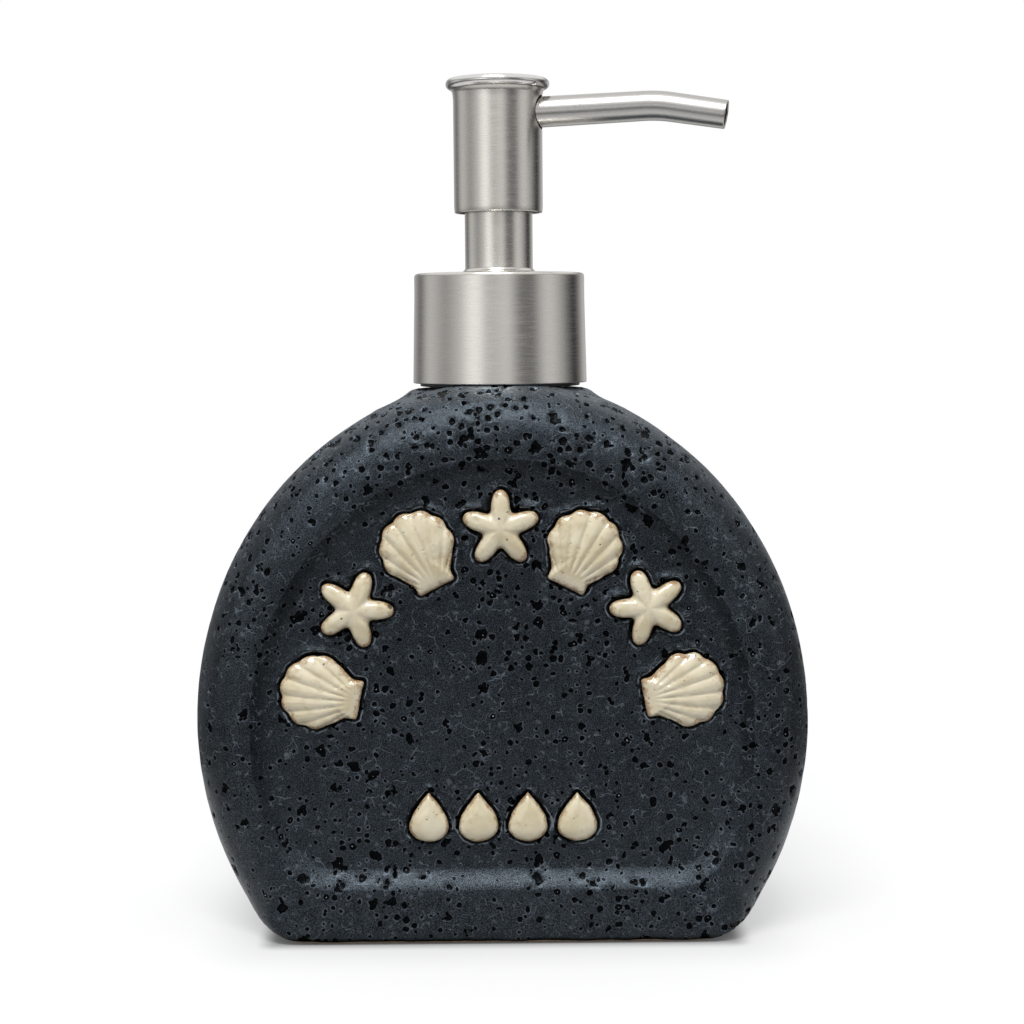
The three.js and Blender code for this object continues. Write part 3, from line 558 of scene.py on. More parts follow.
def foam():
    look = {"dark": (0.50, 0.51, 0.49, 1), "pale": (0.72, 0.73, 0.70, 1), "cell": 0.0004}
    material, shader = startMaterial("sealFoam")
    bubble = ramped(voronoi(ownPlace(), look["cell"])["Distance"], 0.1, 0.6)
    feed(shader, {"Base Color": mixed(bubble, look["dark"], look["pale"]), "Roughness": 0.85,
                  "Normal": bumped(bubble, 0.00008, 0.7)})
    return material


finish = {
    "darkGlaze": darkGlaze(),
    "creamGlaze": creamGlaze(),
    "steel": steel("brushedSteel", "round", 0.25, (0.680, 0.656, 0.617, 1), 0.25),
    "spoutSteel": steel("spoutSteel", "along", 0.24, (0.470, 0.459, 0.440, 1)),
    "rimSteel": steel("polishedRim", "round", 0.19, (0.72, 0.71, 0.69, 1), 0.2),
    "spring": steel("springWire", "along", 0.22, (0.55, 0.56, 0.57, 1), 0.3),
    "black": plastic("blackPlastic", (0.011, 0.011, 0.012, 1), 0.42, 0.0005),
    "natural": plastic("naturalPlastic", (0.74, 0.76, 0.75, 1), 0.34, 0.0007, 0.4),
    "foam": foam(),
}
print("finishes are ready")


# each relief follows its own solid's place, and leans out from the panel's middle
reliefLook = {
    "lean": 0.0157 / 0.0344,  # radians from one relief on the arc to the next
    "crown": 2.2,             # how full the dome is: 2 is round, more is squarer
    "levels": 30, "top": 0.012,
    "wobble": 0.00016, "uneven": 0.0019, "slow": 0.0062,  # depth and sizes of the hand-made bumps
}


def shellEdge(look, steps):
    reach, ribs, brim = look["across"] / 2, look["ribs"], radians(24)
    out = look["length"] - look["hinge"]
    fan = []
    for i in range(steps + 1):
        share = i / steps
        angle = -brim + (pi + 2 * brim) * share
        lobe = 1 - look["lobe"] * (1 - abs(sin(pi * ribs * share)) ** 0.8)
        fan.append((reach * lobe * cos(angle), look["length"] / 2 - out + out * lobe * sin(angle)))
    ear, foot, high = look["ear"], -look["length"] / 2, look["earHeight"]
    ears = [(-ear, foot + high), (-ear, foot), (0, foot), (ear, foot), (ear, foot + high)]
    return evened(fan + ears, look["points"])


def starEdge(look, steps):
    reach = look["across"] / 2 / sin(2 * pi / 5)
    middle, wave = (reach + look["waist"]) / 2, (reach - look["waist"]) / 2
    edge = []
    for i in range(steps):
        angle = 2 * pi * i / steps
        radius = middle + wave * cos(5 * angle) * (1 - 0.05 * cos(10 * angle))
        edge.append((-radius * sin(angle), radius * cos(angle)))
    return evened(edge, look["points"])


def dropEdge(look, steps):
    draw = 1.2
    widest = 2 * atan2(sqrt(1 + draw), 1)
    belly = sin(widest) * sin(widest / 2) ** draw
    edge = []
    for i in range(steps):
        t = 2 * pi * i / steps
        edge.append((-look["across"] / 2 * sin(t) * sin(t / 2) ** draw / belly,
                     look["length"] / 2 * cos(t)))
    return evened(edge, look["points"])


def evened(edge, count):
    # the same closed line with its points at even steps
    points = [Vector(p) for p in edge]
    lengths = [(points[i - 1] - points[i]).length for i in range(len(points))]
    total = sum(lengths)
    made, i, passed = [], 0, 0.0
    for k in range(count):
        goal = total * k / count
        while passed + lengths[(i + 1) % len(points)] < goal:
            passed += lengths[(i + 1) % len(points)]
            i += 1
        a, b = points[i % len(points)], points[(i + 1) % len(points)]
        share = (goal - passed) / lengths[(i + 1) % len(points)]
        made.append(a.lerp(b, share))
    return made


def softened(edge, rounds):
    for _ in range(rounds):
        edge = [(edge[i - 1] + edge[i] * 2 + edge[(i + 1) % len(edge)]) / 4 for i in range(len(edge))]
    return edge


shell = {"across": 0.0142, "length": 0.0152, "hinge": 0.0082, "ear": 0.0037, "earHeight": 0.0020,
         "ribs": 7, "lobe": 0.07, "points": 168, "round": 3, "ribDepth": 0.00034,
         "ribSpread": radians(88), "ribFoot": 0.0006}
star = {"across": 0.0142, "waist": 0.0034, "points": 150, "round": 2}
drop = {"across": 0.0074, "length": 0.0094, "points": 84, "round": 1}


def ribTree():
    # scallops fan out from a hinge and fade towards it and towards the rim
    given = startTree("shellRibs", {"Hinge": "Vector", "Lean": "Float", "Ribs": "Float",
                                    "Spread": "Float", "Depth": "Float", "Finish": "Material"})
    place = put("GeometryNodeInputPosition").outputs[0]
    arm = vectorMaths("SUBTRACT", place, given["Hinge"])
    across, up = axis(arm, "X"), axis(arm, "Z")
    turns = maths("DIVIDE", minus(maths("ARCTAN2", across, up), given["Lean"]), given["Spread"])
    wave = maths("ABSOLUTE", maths("COSINE", times(turns, given["Ribs"])))
    away = vectorMaths("LENGTH", put("ShaderNodeCombineXYZ", {"X": across, "Z": up}).outputs[0])
    grown = times(ramped(away, 0.0016, 0.0060), given["Depth"])
    edge = put("GeometryNodeInputNamedAttribute", {"Name": "edge"}, data_type="FLOAT").outputs[0]
    sunk = times(minus(1.0, maths("POWER", wave, 0.7)), grown, fading(edge, 0.90, 0.99))
    shift = put("ShaderNodeCombineXYZ", {"Y": sunk}).outputs[0]
    return endTree(moved(given["Geometry"], "Offset", shift), given["Finish"])


def makeRelief(node, edge, lean, seed):
    # a low dome over the outline, fuller than a ball's and uneven like a pressed sprig of clay
    low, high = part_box(node)
    back, front = high.y, low.y
    points = [Matrix.Rotation(-lean, 2) @ p for p in edge]
    middle = Vector(((low.x + high.x) / 2, (low.z + high.z) / 2))
    middle -= Vector(((min(p.x for p in points) + max(p.x for p in points)) / 2,
                      (min(p.y for p in points) + max(p.y for p in points)) / 2))
    rings, shares = [], []
    for level in range(reliefLook["levels"] + 1):
        turn = pi / 2 * level / reliefLook["levels"]
        share = cos(turn) ** (2 / reliefLook["crown"]) if level < reliefLook["levels"] else reliefLook["top"]
        rise = sin(turn) ** (2 / (reliefLook["crown"] + 0.4))
        foot = 1 - 0.035 * (1 - min(1.0, rise / 0.25)) ** 2
        ring = []
        for p in points:
            at = middle + p * share * foot
            uneven = noise.noise(Vector((at.x, seed * 0.01, at.y)) / reliefLook["uneven"])
            slow = noise.noise(Vector((at.x, seed * 0.01 + 3, at.y)) / reliefLook["slow"])
            at += p.normalized() * uneven * reliefLook["wobble"] * share
            height = (back - front) * (rise * (0.965 + 0.035 * slow) + 0.012 * uneven * rise)
            ring.append((at.x, back - min(height, back - front), at.y))
        rings.append(ring)
        shares.append(share)
    piece = loftRings(node.replace("relief_", "glazed_"), rings)
    tag = piece.data.attributes.new("edge", "FLOAT", "POINT")
    count = len(points)
    for v in piece.data.vertices:
        row = v.index // count
        tag.data[v.index].value = shares[row] if row < len(shares) else 0.0
    piece.data.shade_smooth()
    return piece, middle


def makeReliefs():
    ribs = ribTree()
    made = []
    fan = softened(shellEdge(shell, 420), shell["round"])
    arms = softened(starEdge(star, 400), star["round"])
    bead = softened(dropEdge(drop, 200), drop["round"])
    for i in range(7):
        lean = reliefLook["lean"] * (i - 3)
        kind, edge = ("star", arms) if i % 2 else ("shell", fan)
        node = f"relief_{kind}_{i // 2 + 1}"
        piece, middle = makeRelief(node, edge, lean, i)
        if kind == "shell":
            foot = Vector((0, -shell["length"] / 2 - shell["ribFoot"]))
            hinge = middle + Matrix.Rotation(-lean, 2) @ foot
            grow(piece, ribs, {"Hinge": (hinge.x, 0, hinge.y), "Lean": lean, "Ribs": pi * shell["ribs"],
                               "Spread": shell["ribSpread"], "Depth": shell["ribDepth"],
                               "Finish": finish["creamGlaze"]})
            piece.data.shade_smooth()
        made.append(finished(piece, "flask", "creamGlaze", "cream_glaze", node))
    for i in range(4):
        node = f"relief_drop_{i + 1}"
        piece, middle = makeRelief(node, bead, 0.0, 20 + i)
        made.append(finished(piece, "flask", "creamGlaze", "cream_glaze", node))
    return made


reliefs = makeReliefs()
print("reliefs are ready")


flask = {
    "crownRise": 0.0645, "widest": 0.040, "flank": 0.0666, "heel": 0.016,
    "rim": 0.0106, "foot": 0.0015,
    "panelSide": 0.0112, "panelCrown": 0.0136, "panelFoot": 0.0103, "panelCorner": 0.009,
    "panelSlope": 0.0046, "panelDepth": 0.0025, "stepWidth": 0.004,
    "wall": 0.004, "floor": 0.005, "footRim": 0.007, "kick": 0.0012, "kickCorner": 0.010,
    "shoulder": 0.103, "padDrop": 0.0043, "padRadius": 0.0171, "padSpread": 0.0075,
    "padSpreadFront": 0.004, "padCurve": 0.68,
    "neck": 0.0125, "bore": 0.009, "neckChamfer": 0.0006,
    "grain": 0.0011, "shrink": 0.00012,
    "pitDepth": 0.00048, "waveHeight": 0.00022, "lipHeight": 0.00065, "grooveDepth": 0.00032,
}
thread = {"turns": 1.15, "pitch": 0.004233, "topGap": 0.0049, "depth": 0.0011, "bite": 0.0004,
          "rootWidth": 0.0023, "crestWidth": 0.0009, "runout": 0.09, "endShare": 0.1}


def ovalEdge(halfWidth, rise, flank, heel, foot, fine=1.0):
    # an oval crown, round flanks and heels and a flat foot, each point with its outward direction
    level = flask["widest"]
    flankX = halfWidth - flank
    heelZ = foot + heel
    heelX = flankX + sqrt((flank - heel) ** 2 - (level - heelZ) ** 2)
    heelAngle = atan2(level - heelZ, heelX - flankX)
    crownSteps, flankSteps = ceil(56 * fine), ceil(26 * fine)
    heelSteps, footSteps = ceil(14 * fine), ceil(22 * fine)
    half = []
    for i in range(crownSteps):
        t = pi / 2 * (1 - i / crownSteps)
        half.append((halfWidth * cos(t), level + rise * sin(t), cos(t) / halfWidth, sin(t) / rise))
    for i in range(flankSteps):
        t = heelAngle * i / flankSteps
        half.append((flankX + flank * cos(t), level - flank * sin(t), cos(t), -sin(t)))
    for i in range(heelSteps):
        t = heelAngle + (pi / 2 - heelAngle) * i / heelSteps
        half.append((heelX + heel * cos(t), heelZ - heel * sin(t), cos(t), -sin(t)))
    for i in range(footSteps + 1):
        half.append((heelX * (1 - i / footSteps), foot, 0, -1))
    whole = half + [(-x, z, -nx, nz) for x, z, nx, nz in reversed(half[1:-1])]
    return [(x, z, nx / hypot(nx, nz), nz / hypot(nx, nz)) for x, z, nx, nz in whole]


def edgeRings(outline, halfDepth, rounding, side, steps):
    rings = []
    for i in range(steps + 1):
        angle = pi / 2 * (1 - i / steps)
        ring = []
        for x, z, nx, nz in outline:
            radius = rounding(nz)
            inset = radius * (1 - cos(angle))
            ring.append((x - nx * inset, side * (halfDepth - radius + radius * sin(angle)), z - nz * inset))
        rings.append(ring)
    return rings


def rimRounding(nz):
    share = eased(min(1.0, max(0.0, (-nz - 0.5) / 0.5)))
    return flask["rim"] + (flask["foot"] - flask["rim"]) * share


def panelEdge(halfWidth, inset):
    # the outline of the sunk panel, drawn in by an inset
    return ovalEdge(halfWidth - flask["panelSide"] - inset, flask["crownRise"] - flask["panelCrown"] - inset,
                    flask["flank"] - flask["panelSide"] - inset, flask["panelCorner"],
                    flask["panelFoot"] + inset)


def flaskBlank():
    # the outside as one closed form: sunk panels, rounded rims and sides
    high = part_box("bottle")[1]
    halfWidth, half = high.x - flask["shrink"], high.y - flask["shrink"]
    outer = ovalEdge(halfWidth, flask["crownRise"], flask["flank"], flask["heel"], 0.0)
    slopeSteps = 12

    def face(side):
        rings = []
        for i in range(slopeSteps + 1):
            share = 1 - i / slopeSteps
            sunk = flask["panelDepth"] * (share + eased(share)) / 2
            panel = panelEdge(halfWidth, flask["panelSlope"] * share - 0.0004)
            rings.append([(x, side * (half - sunk), z) for x, z, nx, nz in panel])
        return rings + edgeRings(outer, half, rimRounding, side, 14)

    return loftRings("flaskBlank", face(-1) + face(1)[::-1])


def padBlank():
    # the flat pad under the collar, with a skirt that runs out into the crown
    rings = []
    steps = 14
    for i in range(steps + 1):
        share = i / steps
        spread = flask["padRadius"] + flask["padSpread"] * share
        deep = flask["padRadius"] + flask["padSpreadFront"] * share
        height = flask["shoulder"] - flask["padDrop"] * share ** flask["padCurve"]
        rings.append(circle(spread, deep, height, 96))
    rings.append([(0.8 * x, 0.8 * y, z - flask["padDrop"]) for x, y, z in rings[-1]])
    return loftRings("padBlank", rings)


def footBlank():
    # a shallow hollow with round corners under the foot
    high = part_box("bottle")[1]
    outline = ovalEdge(high.x, flask["crownRise"], flask["flank"], flask["heel"], 0.0)
    footHalf = max(x for x, z, nx, nz in outline if z < 1e-6)
    reachX, reachY = footHalf - flask["footRim"] / 2, high.y - flask["footRim"]
    corner = flask["kickCorner"]
    rings = []
    for height, inset in ((-0.002, 0.0), (0.0002, 0.0), (flask["kick"], 0.0012)):
        ring = []
        for turn in range(4):
            x = (reachX - corner) * (1 if turn % 3 == 0 else -1)
            y = (reachY - corner) * (1 if turn < 2 else -1)
            for i in range(13):
                angle = pi / 2 * (turn + i / 12)
                ring.append((x + (corner - inset) * cos(angle), y + (corner - inset) * sin(angle), height))
        rings.append(ring)
    return loftRings("footBlank", rings)


def cavityBlank():
    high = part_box("bottle")[1]
    wall = flask["wall"]
    outline = ovalEdge(high.x - wall, flask["crownRise"] - wall, flask["flank"] - wall,
                       flask["heel"] - wall, flask["floor"], 0.6)
    depth = high.y - flask["panelDepth"] - wall

    def rounding(nz):
        return flask["rim"] - wall

    return loftRings("cavityBlank", edgeRings(outline, depth, rounding, -1, 6)
                     + edgeRings(outline, depth, rounding, 1, 6)[::-1])


def neckBlank():
    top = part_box("bottle")[1].z
    low, radius, chamfer = flask["shoulder"] - flask["padDrop"], flask["neck"], flask["neckChamfer"]
    neck = turned("neckBlank", [(0, low, 0), (radius, low, 0), (radius, top - chamfer, 0.0004),
                                (radius - chamfer, top, 0.0003), (0, top, 0)], False, 96)
    start = top - thread["topGap"] - thread["turns"] * thread["pitch"]
    cut(neck, helixRidge("threadBlank", radius - thread["bite"], radius + thread["depth"], start, thread),
        "UNION")
    return neck


def stepLine(inset, depth):
    # an edge of the step round both sunk panels
    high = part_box("bottle")[1]
    bm = bmesh.new()
    for side in (-1, 1):
        ring = [bm.verts.new((x, side * (high.y - depth), z)) for x, z, nx, nz in panelEdge(high.x, inset)]
        for a, b in zip(ring, ring[1:] + ring[:1]):
            bm.edges.new((a, b))
    return pieceOf("stepLine", bm)


def glazeTree():
    # pits, slow waves and the lip of slip around each relief, all along the skin's own direction
    given = startTree("glazeSkin", {
        "Reliefs": "Object", "Land Edge": "Object", "Floor Edge": "Object", "Step Width": "Float",
        "Pit Depth": "Float", "Wave Height": "Float", "Lip Height": "Float", "Groove Depth": "Float",
        "Finish": "Material"})
    place = put("GeometryNodeInputPosition").outputs[0]
    land, floor = [awayFrom(given[label], "EDGES") for label in ("Land Edge", "Floor Edge")]
    near = awayFrom(given["Reliefs"], "FACES")
    tagged = store(given["Geometry"], "restPlace", place, "FLOAT_VECTOR")
    across = maths("DIVIDE", minus(land, floor), given["Step Width"])
    for label, value in (("step", across), ("landAway", land), ("beside", near)):
        tagged = store(tagged, label, value)
    wave = times(minus(noisy(place, 0.011, 2, 0.5), 0.62), given["Wave Height"])
    uneven = ramped(noisy(place, 0.0024, 2, 0.6), 0.3, 0.7, 0.35, 1.25, False)
    crest = times(ramped(near, 0.0005, 0.00105), fading(near, 0.00115, 0.0021))
    lip = times(crest, uneven, given["Lip Height"])
    dip = times(fading(near, 0.0001, 0.0008), given["Groove Depth"])
    sunk = times(ramped(pitField(place)["broad"], 0.80, 1.0), given["Pit Depth"])
    raised = minus(plus(wave, minus(lip, dip)), sunk)
    raised = times(raised, ramped(axis(place, "Z"), 0.0006, 0.0022))
    shift = vectorMaths("SCALE", put("GeometryNodeInputNormal").outputs[0], raised)
    return endTree(moved(tagged, "Offset", shift), given["Finish"])


def detailTree():
    # marks where the skin needs a finer mesh: beside pits and close to the reliefs
    given = startTree("detailMap", {"Reliefs": "Object", "Finish": "Material"})
    broad = pitField(put("GeometryNodeInputPosition").outputs[0])["broad"]
    wanted = larger(broad, fading(awayFrom(given["Reliefs"], "FACES"), 0.0020, 0.0030))
    return endTree(store(given["Geometry"], "wanted", wanted), given["Finish"])


def refine(piece, least=0.02):
    # splits the marked edges in two
    bm = bmesh.new()
    bm.from_mesh(piece.data)
    layer = bm.verts.layers.float["wanted"]
    edges = [e for e in bm.edges if max(v[layer] for v in e.verts) > least]
    bmesh.ops.subdivide_edges(bm, edges=edges, cuts=1, use_grid_fill=True)
    bm.to_mesh(piece.data)
    bm.free()


def reliefBlock():
    # every relief in one mesh, to measure from
    bm = bmesh.new()
    for piece in reliefs:
        bm.from_mesh(piece.data)
    return pieceOf("reliefBlock", bm)


def makeFlask():
    block = reliefBlock()
    blank = flaskBlank()
    cut(blank, padBlank(), "UNION")
    cut(blank, footBlank())
    applied(blank, "REMESH", mode="VOXEL", voxel_size=flask["grain"])
    applied(blank, "SMOOTH", factor=0.5, iterations=3)
    grow(blank, detailTree(), {"Reliefs": block, "Finish": finish["darkGlaze"]})
    refine(blank)
    blank.data.shade_smooth()
    land, floor = stepLine(0.0, 0.0), stepLine(flask["stepWidth"], flask["panelDepth"])
    grow(blank, glazeTree(), {
        "Reliefs": block, "Land Edge": land, "Floor Edge": floor,
        "Step Width": hypot(flask["stepWidth"], flask["panelDepth"]), "Pit Depth": flask["pitDepth"],
        "Wave Height": flask["waveHeight"], "Lip Height": flask["lipHeight"],
        "Groove Depth": flask["grooveDepth"], "Finish": finish["darkGlaze"]})
    for helper in (block, land, floor):
        bpy.data.objects.remove(helper)
    cut(blank, neckBlank(), "UNION")
    cut(blank, cavityBlank())
    cut(blank, rod("boreBlank", flask["bore"], (0, 0, flask["shoulder"] - 2 * flask["wall"]),
                   (0, 0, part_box("bottle")[1].z + 0.002), 96))
    keepPlaces(blank)
    for v in blank.data.vertices:
        v.co.z = max(v.co.z, 0.0)
    blank.name = "flask"
    smoothOver(blank, 50)
    finished(blank, "flask", "darkGlaze", "stoneware", "bottle")


def keepPlaces(piece):
    # points that the cuts made have no stored place yet, so they take their own
    places = piece.data.attributes["restPlace"].data
    for v in piece.data.vertices:
        if (places[v.index].vector - v.co).length > 0.002:
            places[v.index].vector = v.co


makeFlask()
print("flask is ready")


def makeClosureCap():
    look = {"wall": 0.0014, "top": 0.0012, "hole": 0.0062, "chamfer": 0.0007, "clearance": 0.0004}
    radius, bottom, top = spanOf("closure_cap")
    bore = radius - look["wall"]
    cap = turned("closureCap", [
        (bore, bottom, 0.0003), (radius, bottom, 0.0002), (radius, top - look["chamfer"], 0.0003),
        (radius - look["chamfer"], top, 0.0003), (look["hole"], top, 0.0002),
        (look["hole"], top - look["top"], 0.0002), (bore, top - look["top"], 0.0003)])
    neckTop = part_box("bottle")[1].z
    start = neckTop - thread["topGap"] - thread["turns"] * thread["pitch"] - thread["pitch"] / 2
    ridge = helixRidge("capThread", bore + thread["bite"], flask["neck"] + look["clearance"], start, thread)
    cut(cap, ridge, "UNION")
    smoothOver(cap)
    finished(cap, "closure", "black", "black_plastic", "closure_cap")


def makeCollar():
    look = {"wall": 0.0006, "top": 0.0005, "corner": 0.0008, "flare": 0.0004, "upper": 0.0042,
            "hole": 0.0062}
    radius, bottom, top = spanOf("collar_shell")
    upper = radius - look["flare"]
    inner = look["corner"] - look["wall"]
    collar = turned("collarShell", [
        (radius - look["wall"], bottom, 0.0001), (radius, bottom, 0.00022),
        (upper, top - look["upper"], 0.0015), (upper, top, look["corner"]), (look["hole"], top, 0.0002),
        (look["hole"], top - look["top"], 0.0001), (upper - look["wall"], top - look["top"], inner)],
        steps=192, fillets=8)
    finished(collar, "closure", "steel", "steel", "collar_shell")


def makeWasher():
    look = {"hole": 0.0069, "fillet": 0.0002}
    radius, bottom, top = spanOf("neck_washer")
    corners = ((look["hole"], bottom), (radius, bottom), (radius, top), (look["hole"], top))
    washer = turned("neckWasher", [(r, z, look["fillet"]) for r, z in corners], steps=96)
    finished(washer, "washer", "foam", "seal", "neck_washer")


def makeHousing():
    look = {"bore": 0.0052, "wall": 0.0012, "springRoom": 0.0374, "chamber": 0.0034,
            "chamberWall": 0.0015, "chamberLength": 0.005, "cone": 0.0015, "ball": 0.0024,
            "inletLand": 0.0007, "lip": 0.00025, "lipThickness": 0.0008, "slot": 0.0013,
            "slotDepth": 0.0016, "slotPlay": 0.0002, "inlet": 0.002, "nozzleWall": 0.0011,
            "nozzleBore": 0.0032, "flange": 0.0014, "vent": 0.0007, "ventDrop": 0.005}
    radius, bottom, top = spanOf("pump_housing")
    outer, outerChamber = look["bore"] + look["wall"], look["chamber"] + look["chamberWall"]
    seat = top - look["springRoom"]
    chamberFoot = seat - look["chamberLength"]
    cone = chamberFoot - look["cone"]
    nozzleTop = cone - look["inlet"]
    nozzle = look["nozzleBore"] + look["nozzleWall"]
    mouth = look["ball"] - look["lip"]
    inlet = look["ball"] - look["inletLand"]
    housing = turned("pumpHousing", [
        (look["bore"], top, 0.0003), (look["bore"], seat, 0.0003), (mouth, seat, 0.0001),
        (mouth, seat - look["lipThickness"], 0.0001), (look["chamber"], seat - look["lipThickness"], 0.0002),
        (look["chamber"], chamberFoot, 0.0002), (inlet, cone, 0.0002), (inlet, nozzleTop, 0.0001),
        (look["nozzleBore"], nozzleTop, 0.0002), (look["nozzleBore"], bottom, 0.0003),
        (nozzle, bottom, 0.0004), (nozzle, nozzleTop, 0.0004),
        (outerChamber, nozzleTop + look["inlet"], 0.0006), (outerChamber, seat - 2 * look["wall"], 0.0006),
        (outer, seat - look["wall"] / 2, 0.0006), (outer, top - look["flange"], 0.0005),
        (radius, top - look["flange"], 0.0003), (radius, top, 0.0003)], steps=96)
    height = top - look["flange"] - look["ventDrop"]
    cut(housing, rod("vent", look["vent"], (0, 0, height), (0, 2 * outer, height), 32))
    low, high = seat - look["slotDepth"], seat + look["slotDepth"]
    reach, half = look["chamber"] - look["slotPlay"], look["slot"] / 2
    for name, x, y in (("slotX", reach, half), ("slotY", half, reach)):
        cut(housing, brick(name, (-x, -y, low), (x, y, high)))
    smoothOver(housing)
    finished(housing, "pump", "natural", "natural_plastic", "pump_housing")


def makeChaplet():
    look = {"hole": 0.0036, "skirt": 0.0049, "upper": 0.0059, "bore": 0.0054, "flange": 0.001,
            "below": 0.0086}
    radius, bottom, top = spanOf("chaplet")
    flangeFoot = bottom + look["below"]
    flangeTop = flangeFoot + look["flange"]
    ring = turned("chapletRing", [
        (look["hole"], bottom, 0.0002), (look["skirt"], bottom, 0.0003), (look["skirt"], flangeFoot, 0.0002),
        (radius, flangeFoot, 0.0002), (radius, flangeTop, 0.0002), (look["upper"], flangeTop, 0.0003),
        (look["upper"], top, 0.0002), (look["bore"], top, 0.0002),
        (look["bore"], flangeTop + 0.0002, 0.0002), (look["hole"], flangeTop + 0.0002, 0.0002)], steps=96)
    finished(ring, "pump", "black", "black_plastic", "chaplet")


def makeSleeve():
    look = {"wall": 0.0004, "foot": 0.00045}
    radius, bottom, top = spanOf("sleeve")
    outer = radius - look["foot"]
    bore = outer - look["wall"]
    sleeve = turned("guideSleeve", [
        (bore, bottom, 0.0001), (radius, bottom, 0.00012), (radius, bottom + 0.0002, 0.00008),
        (outer, bottom + 0.0006, 0.0003), (outer, top, 0.00018), (bore, top, 0.0001)], steps=160)
    finished(sleeve, "pump", "steel", "steel", "sleeve")


def makeDipTube():
    look = {"wall": 0.0007, "notch": 0.0026, "fillet": 0.0001}
    radius, bottom, top = spanOf("dip_tube")
    bore, half = radius - look["wall"], look["notch"] / 2
    corners = ((bore, bottom), (radius, bottom), (radius, top), (bore, top))
    tube = turned("dipTube", [(r, z, look["fillet"]) for r, z in corners], steps=64)
    notch = brick("notch", (-half, -2 * radius, -half), (half, 2 * radius, half))
    notch.data.transform(Matrix.Translation((0, 0, bottom)) @ Matrix.Rotation(pi / 4, 4, "Y"))
    cut(tube, notch)
    smoothOver(tube)
    finished(tube, "pump", "natural", "natural_plastic", "dip_tube")


def springTree():
    # a helix with close end turns, swept with a round wire
    given = startTree("springCoil", {"Turns": "Float", "Radius": "Float", "Wire": "Float", "Bottom": "Float",
                                     "Top": "Float", "End Gap": "Float", "Finish": "Material"})
    line = put("GeometryNodeCurvePrimitiveLine", {"Start": (0, 0, 0), "End": (0, 0, 1)}).outputs[0]
    fine = put("GeometryNodeResampleCurve", {"Curve": line, "Count": 420}).outputs[0]
    turns = times(put("GeometryNodeSplineParameter").outputs["Factor"], given["Turns"])
    last = minus(given["Turns"], 1.0)
    flat = plus(maths("MINIMUM", turns, 1.0), larger(minus(turns, last), 0.0))
    risen = ramped(turns, 1.0, last, 0.0, 1.0, False)
    pitch = plus(given["Wire"], given["End Gap"])
    low = plus(given["Bottom"], times(given["Wire"], 0.5))
    room = minus(given["Top"], given["Bottom"], given["Wire"], times(pitch, 2.0))
    height = plus(low, times(flat, pitch), times(risen, room))
    angle = times(turns, 2 * pi)
    spot = put("ShaderNodeCombineXYZ", {
        "X": times(maths("COSINE", angle), given["Radius"]),
        "Y": times(maths("SINE", angle), given["Radius"]), "Z": height}).outputs[0]
    sockets = {"Resolution": 20, "Radius": times(given["Wire"], 0.5)}
    wire = put("GeometryNodeCurvePrimitiveCircle", sockets).outputs[0]
    sockets = {"Curve": moved(fine, "Position", spot), "Profile Curve": wire, "Fill Caps": True}
    return endTree(put("GeometryNodeCurveToMesh", sockets).outputs[0], given["Finish"])


def makeSpring():
    look = {"turns": 6.5, "wire": 0.0008, "endGap": 0.00012, "stroke": 0.0105}
    radius, bottom, top = spanOf("return_spring")
    spring = pieceOf("returnSpring", bmesh.new())
    grow(spring, springTree(), {
        "Turns": look["turns"], "Radius": radius - look["wire"] / 2, "Wire": look["wire"],
        "Bottom": bottom, "Top": top, "End Gap": look["endGap"], "Finish": finish["spring"]})
    spring.data.shade_smooth()
    finished(spring, "pump", "spring", "steel", "return_spring")
    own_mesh(spring)


def makeBall():
    low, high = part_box("valve_ball")
    radius = (high.z - low.z) / 2
    middle = (low.z + high.z) / 2
    steps = 32
    arc = [(radius * sin(pi * k / steps), middle - radius * cos(pi * k / steps)) for k in range(steps + 1)]
    arc[0], arc[-1] = (0, middle - radius), (0, middle + radius)
    ball = lathe("valveBall", arc, False, 64)
    finished(ball, "ball", "rimSteel", "polished_steel", "valve_ball")


def makePiston():
    look = {"bore": 0.0023, "lip": 0.0014, "waist": 0.0008}
    radius, bottom, top = spanOf("piston")
    waist = radius - look["waist"]
    piston = turned("pistonSeal", [
        (look["bore"], bottom, 0.0001), (radius - look["waist"] / 2, bottom, 0.0002),
        (radius, bottom + look["lip"] / 2, 0.0003), (waist, bottom + look["lip"], 0.0004),
        (waist, top - look["lip"], 0.0004), (radius, top - look["lip"] / 2, 0.0003),
        (radius - look["waist"] / 2, top, 0.0002), (look["bore"], top, 0.0001)], steps=96)
    finished(piston, "plunger", "natural", "natural_plastic", "piston")


def makeStem():
    look = {"wall": 0.0009, "flangeWidth": 0.001, "flange": 0.0012}
    radius, bottom, top = spanOf("piston_stem")
    stem = radius - look["flangeWidth"]
    bore = stem - look["wall"]
    piece = turned("pistonStem", [
        (bore, bottom, 0.0001), (radius, bottom, 0.0002), (radius, bottom + look["flange"], 0.0002),
        (stem, bottom + look["flange"], 0.0003), (stem, top, 0.0002), (bore, top, 0.0001)], steps=96)
    finished(piece, "head", "natural", "natural_plastic", "piston_stem")


def makePlug():
    look = {"shank": 0.002, "thickness": 0.0014}
    radius, bottom, top = spanOf("stem_plug")
    plug = turned("stemPlug", [
        (0, bottom, 0), (radius, bottom, 0.0003), (radius, bottom + look["thickness"], 0.0003),
        (look["shank"], bottom + look["thickness"], 0.0003), (look["shank"], top, 0.0004), (0, top, 0)],
        False, 96)
    finished(plug, "head", "natural", "natural_plastic", "stem_plug")


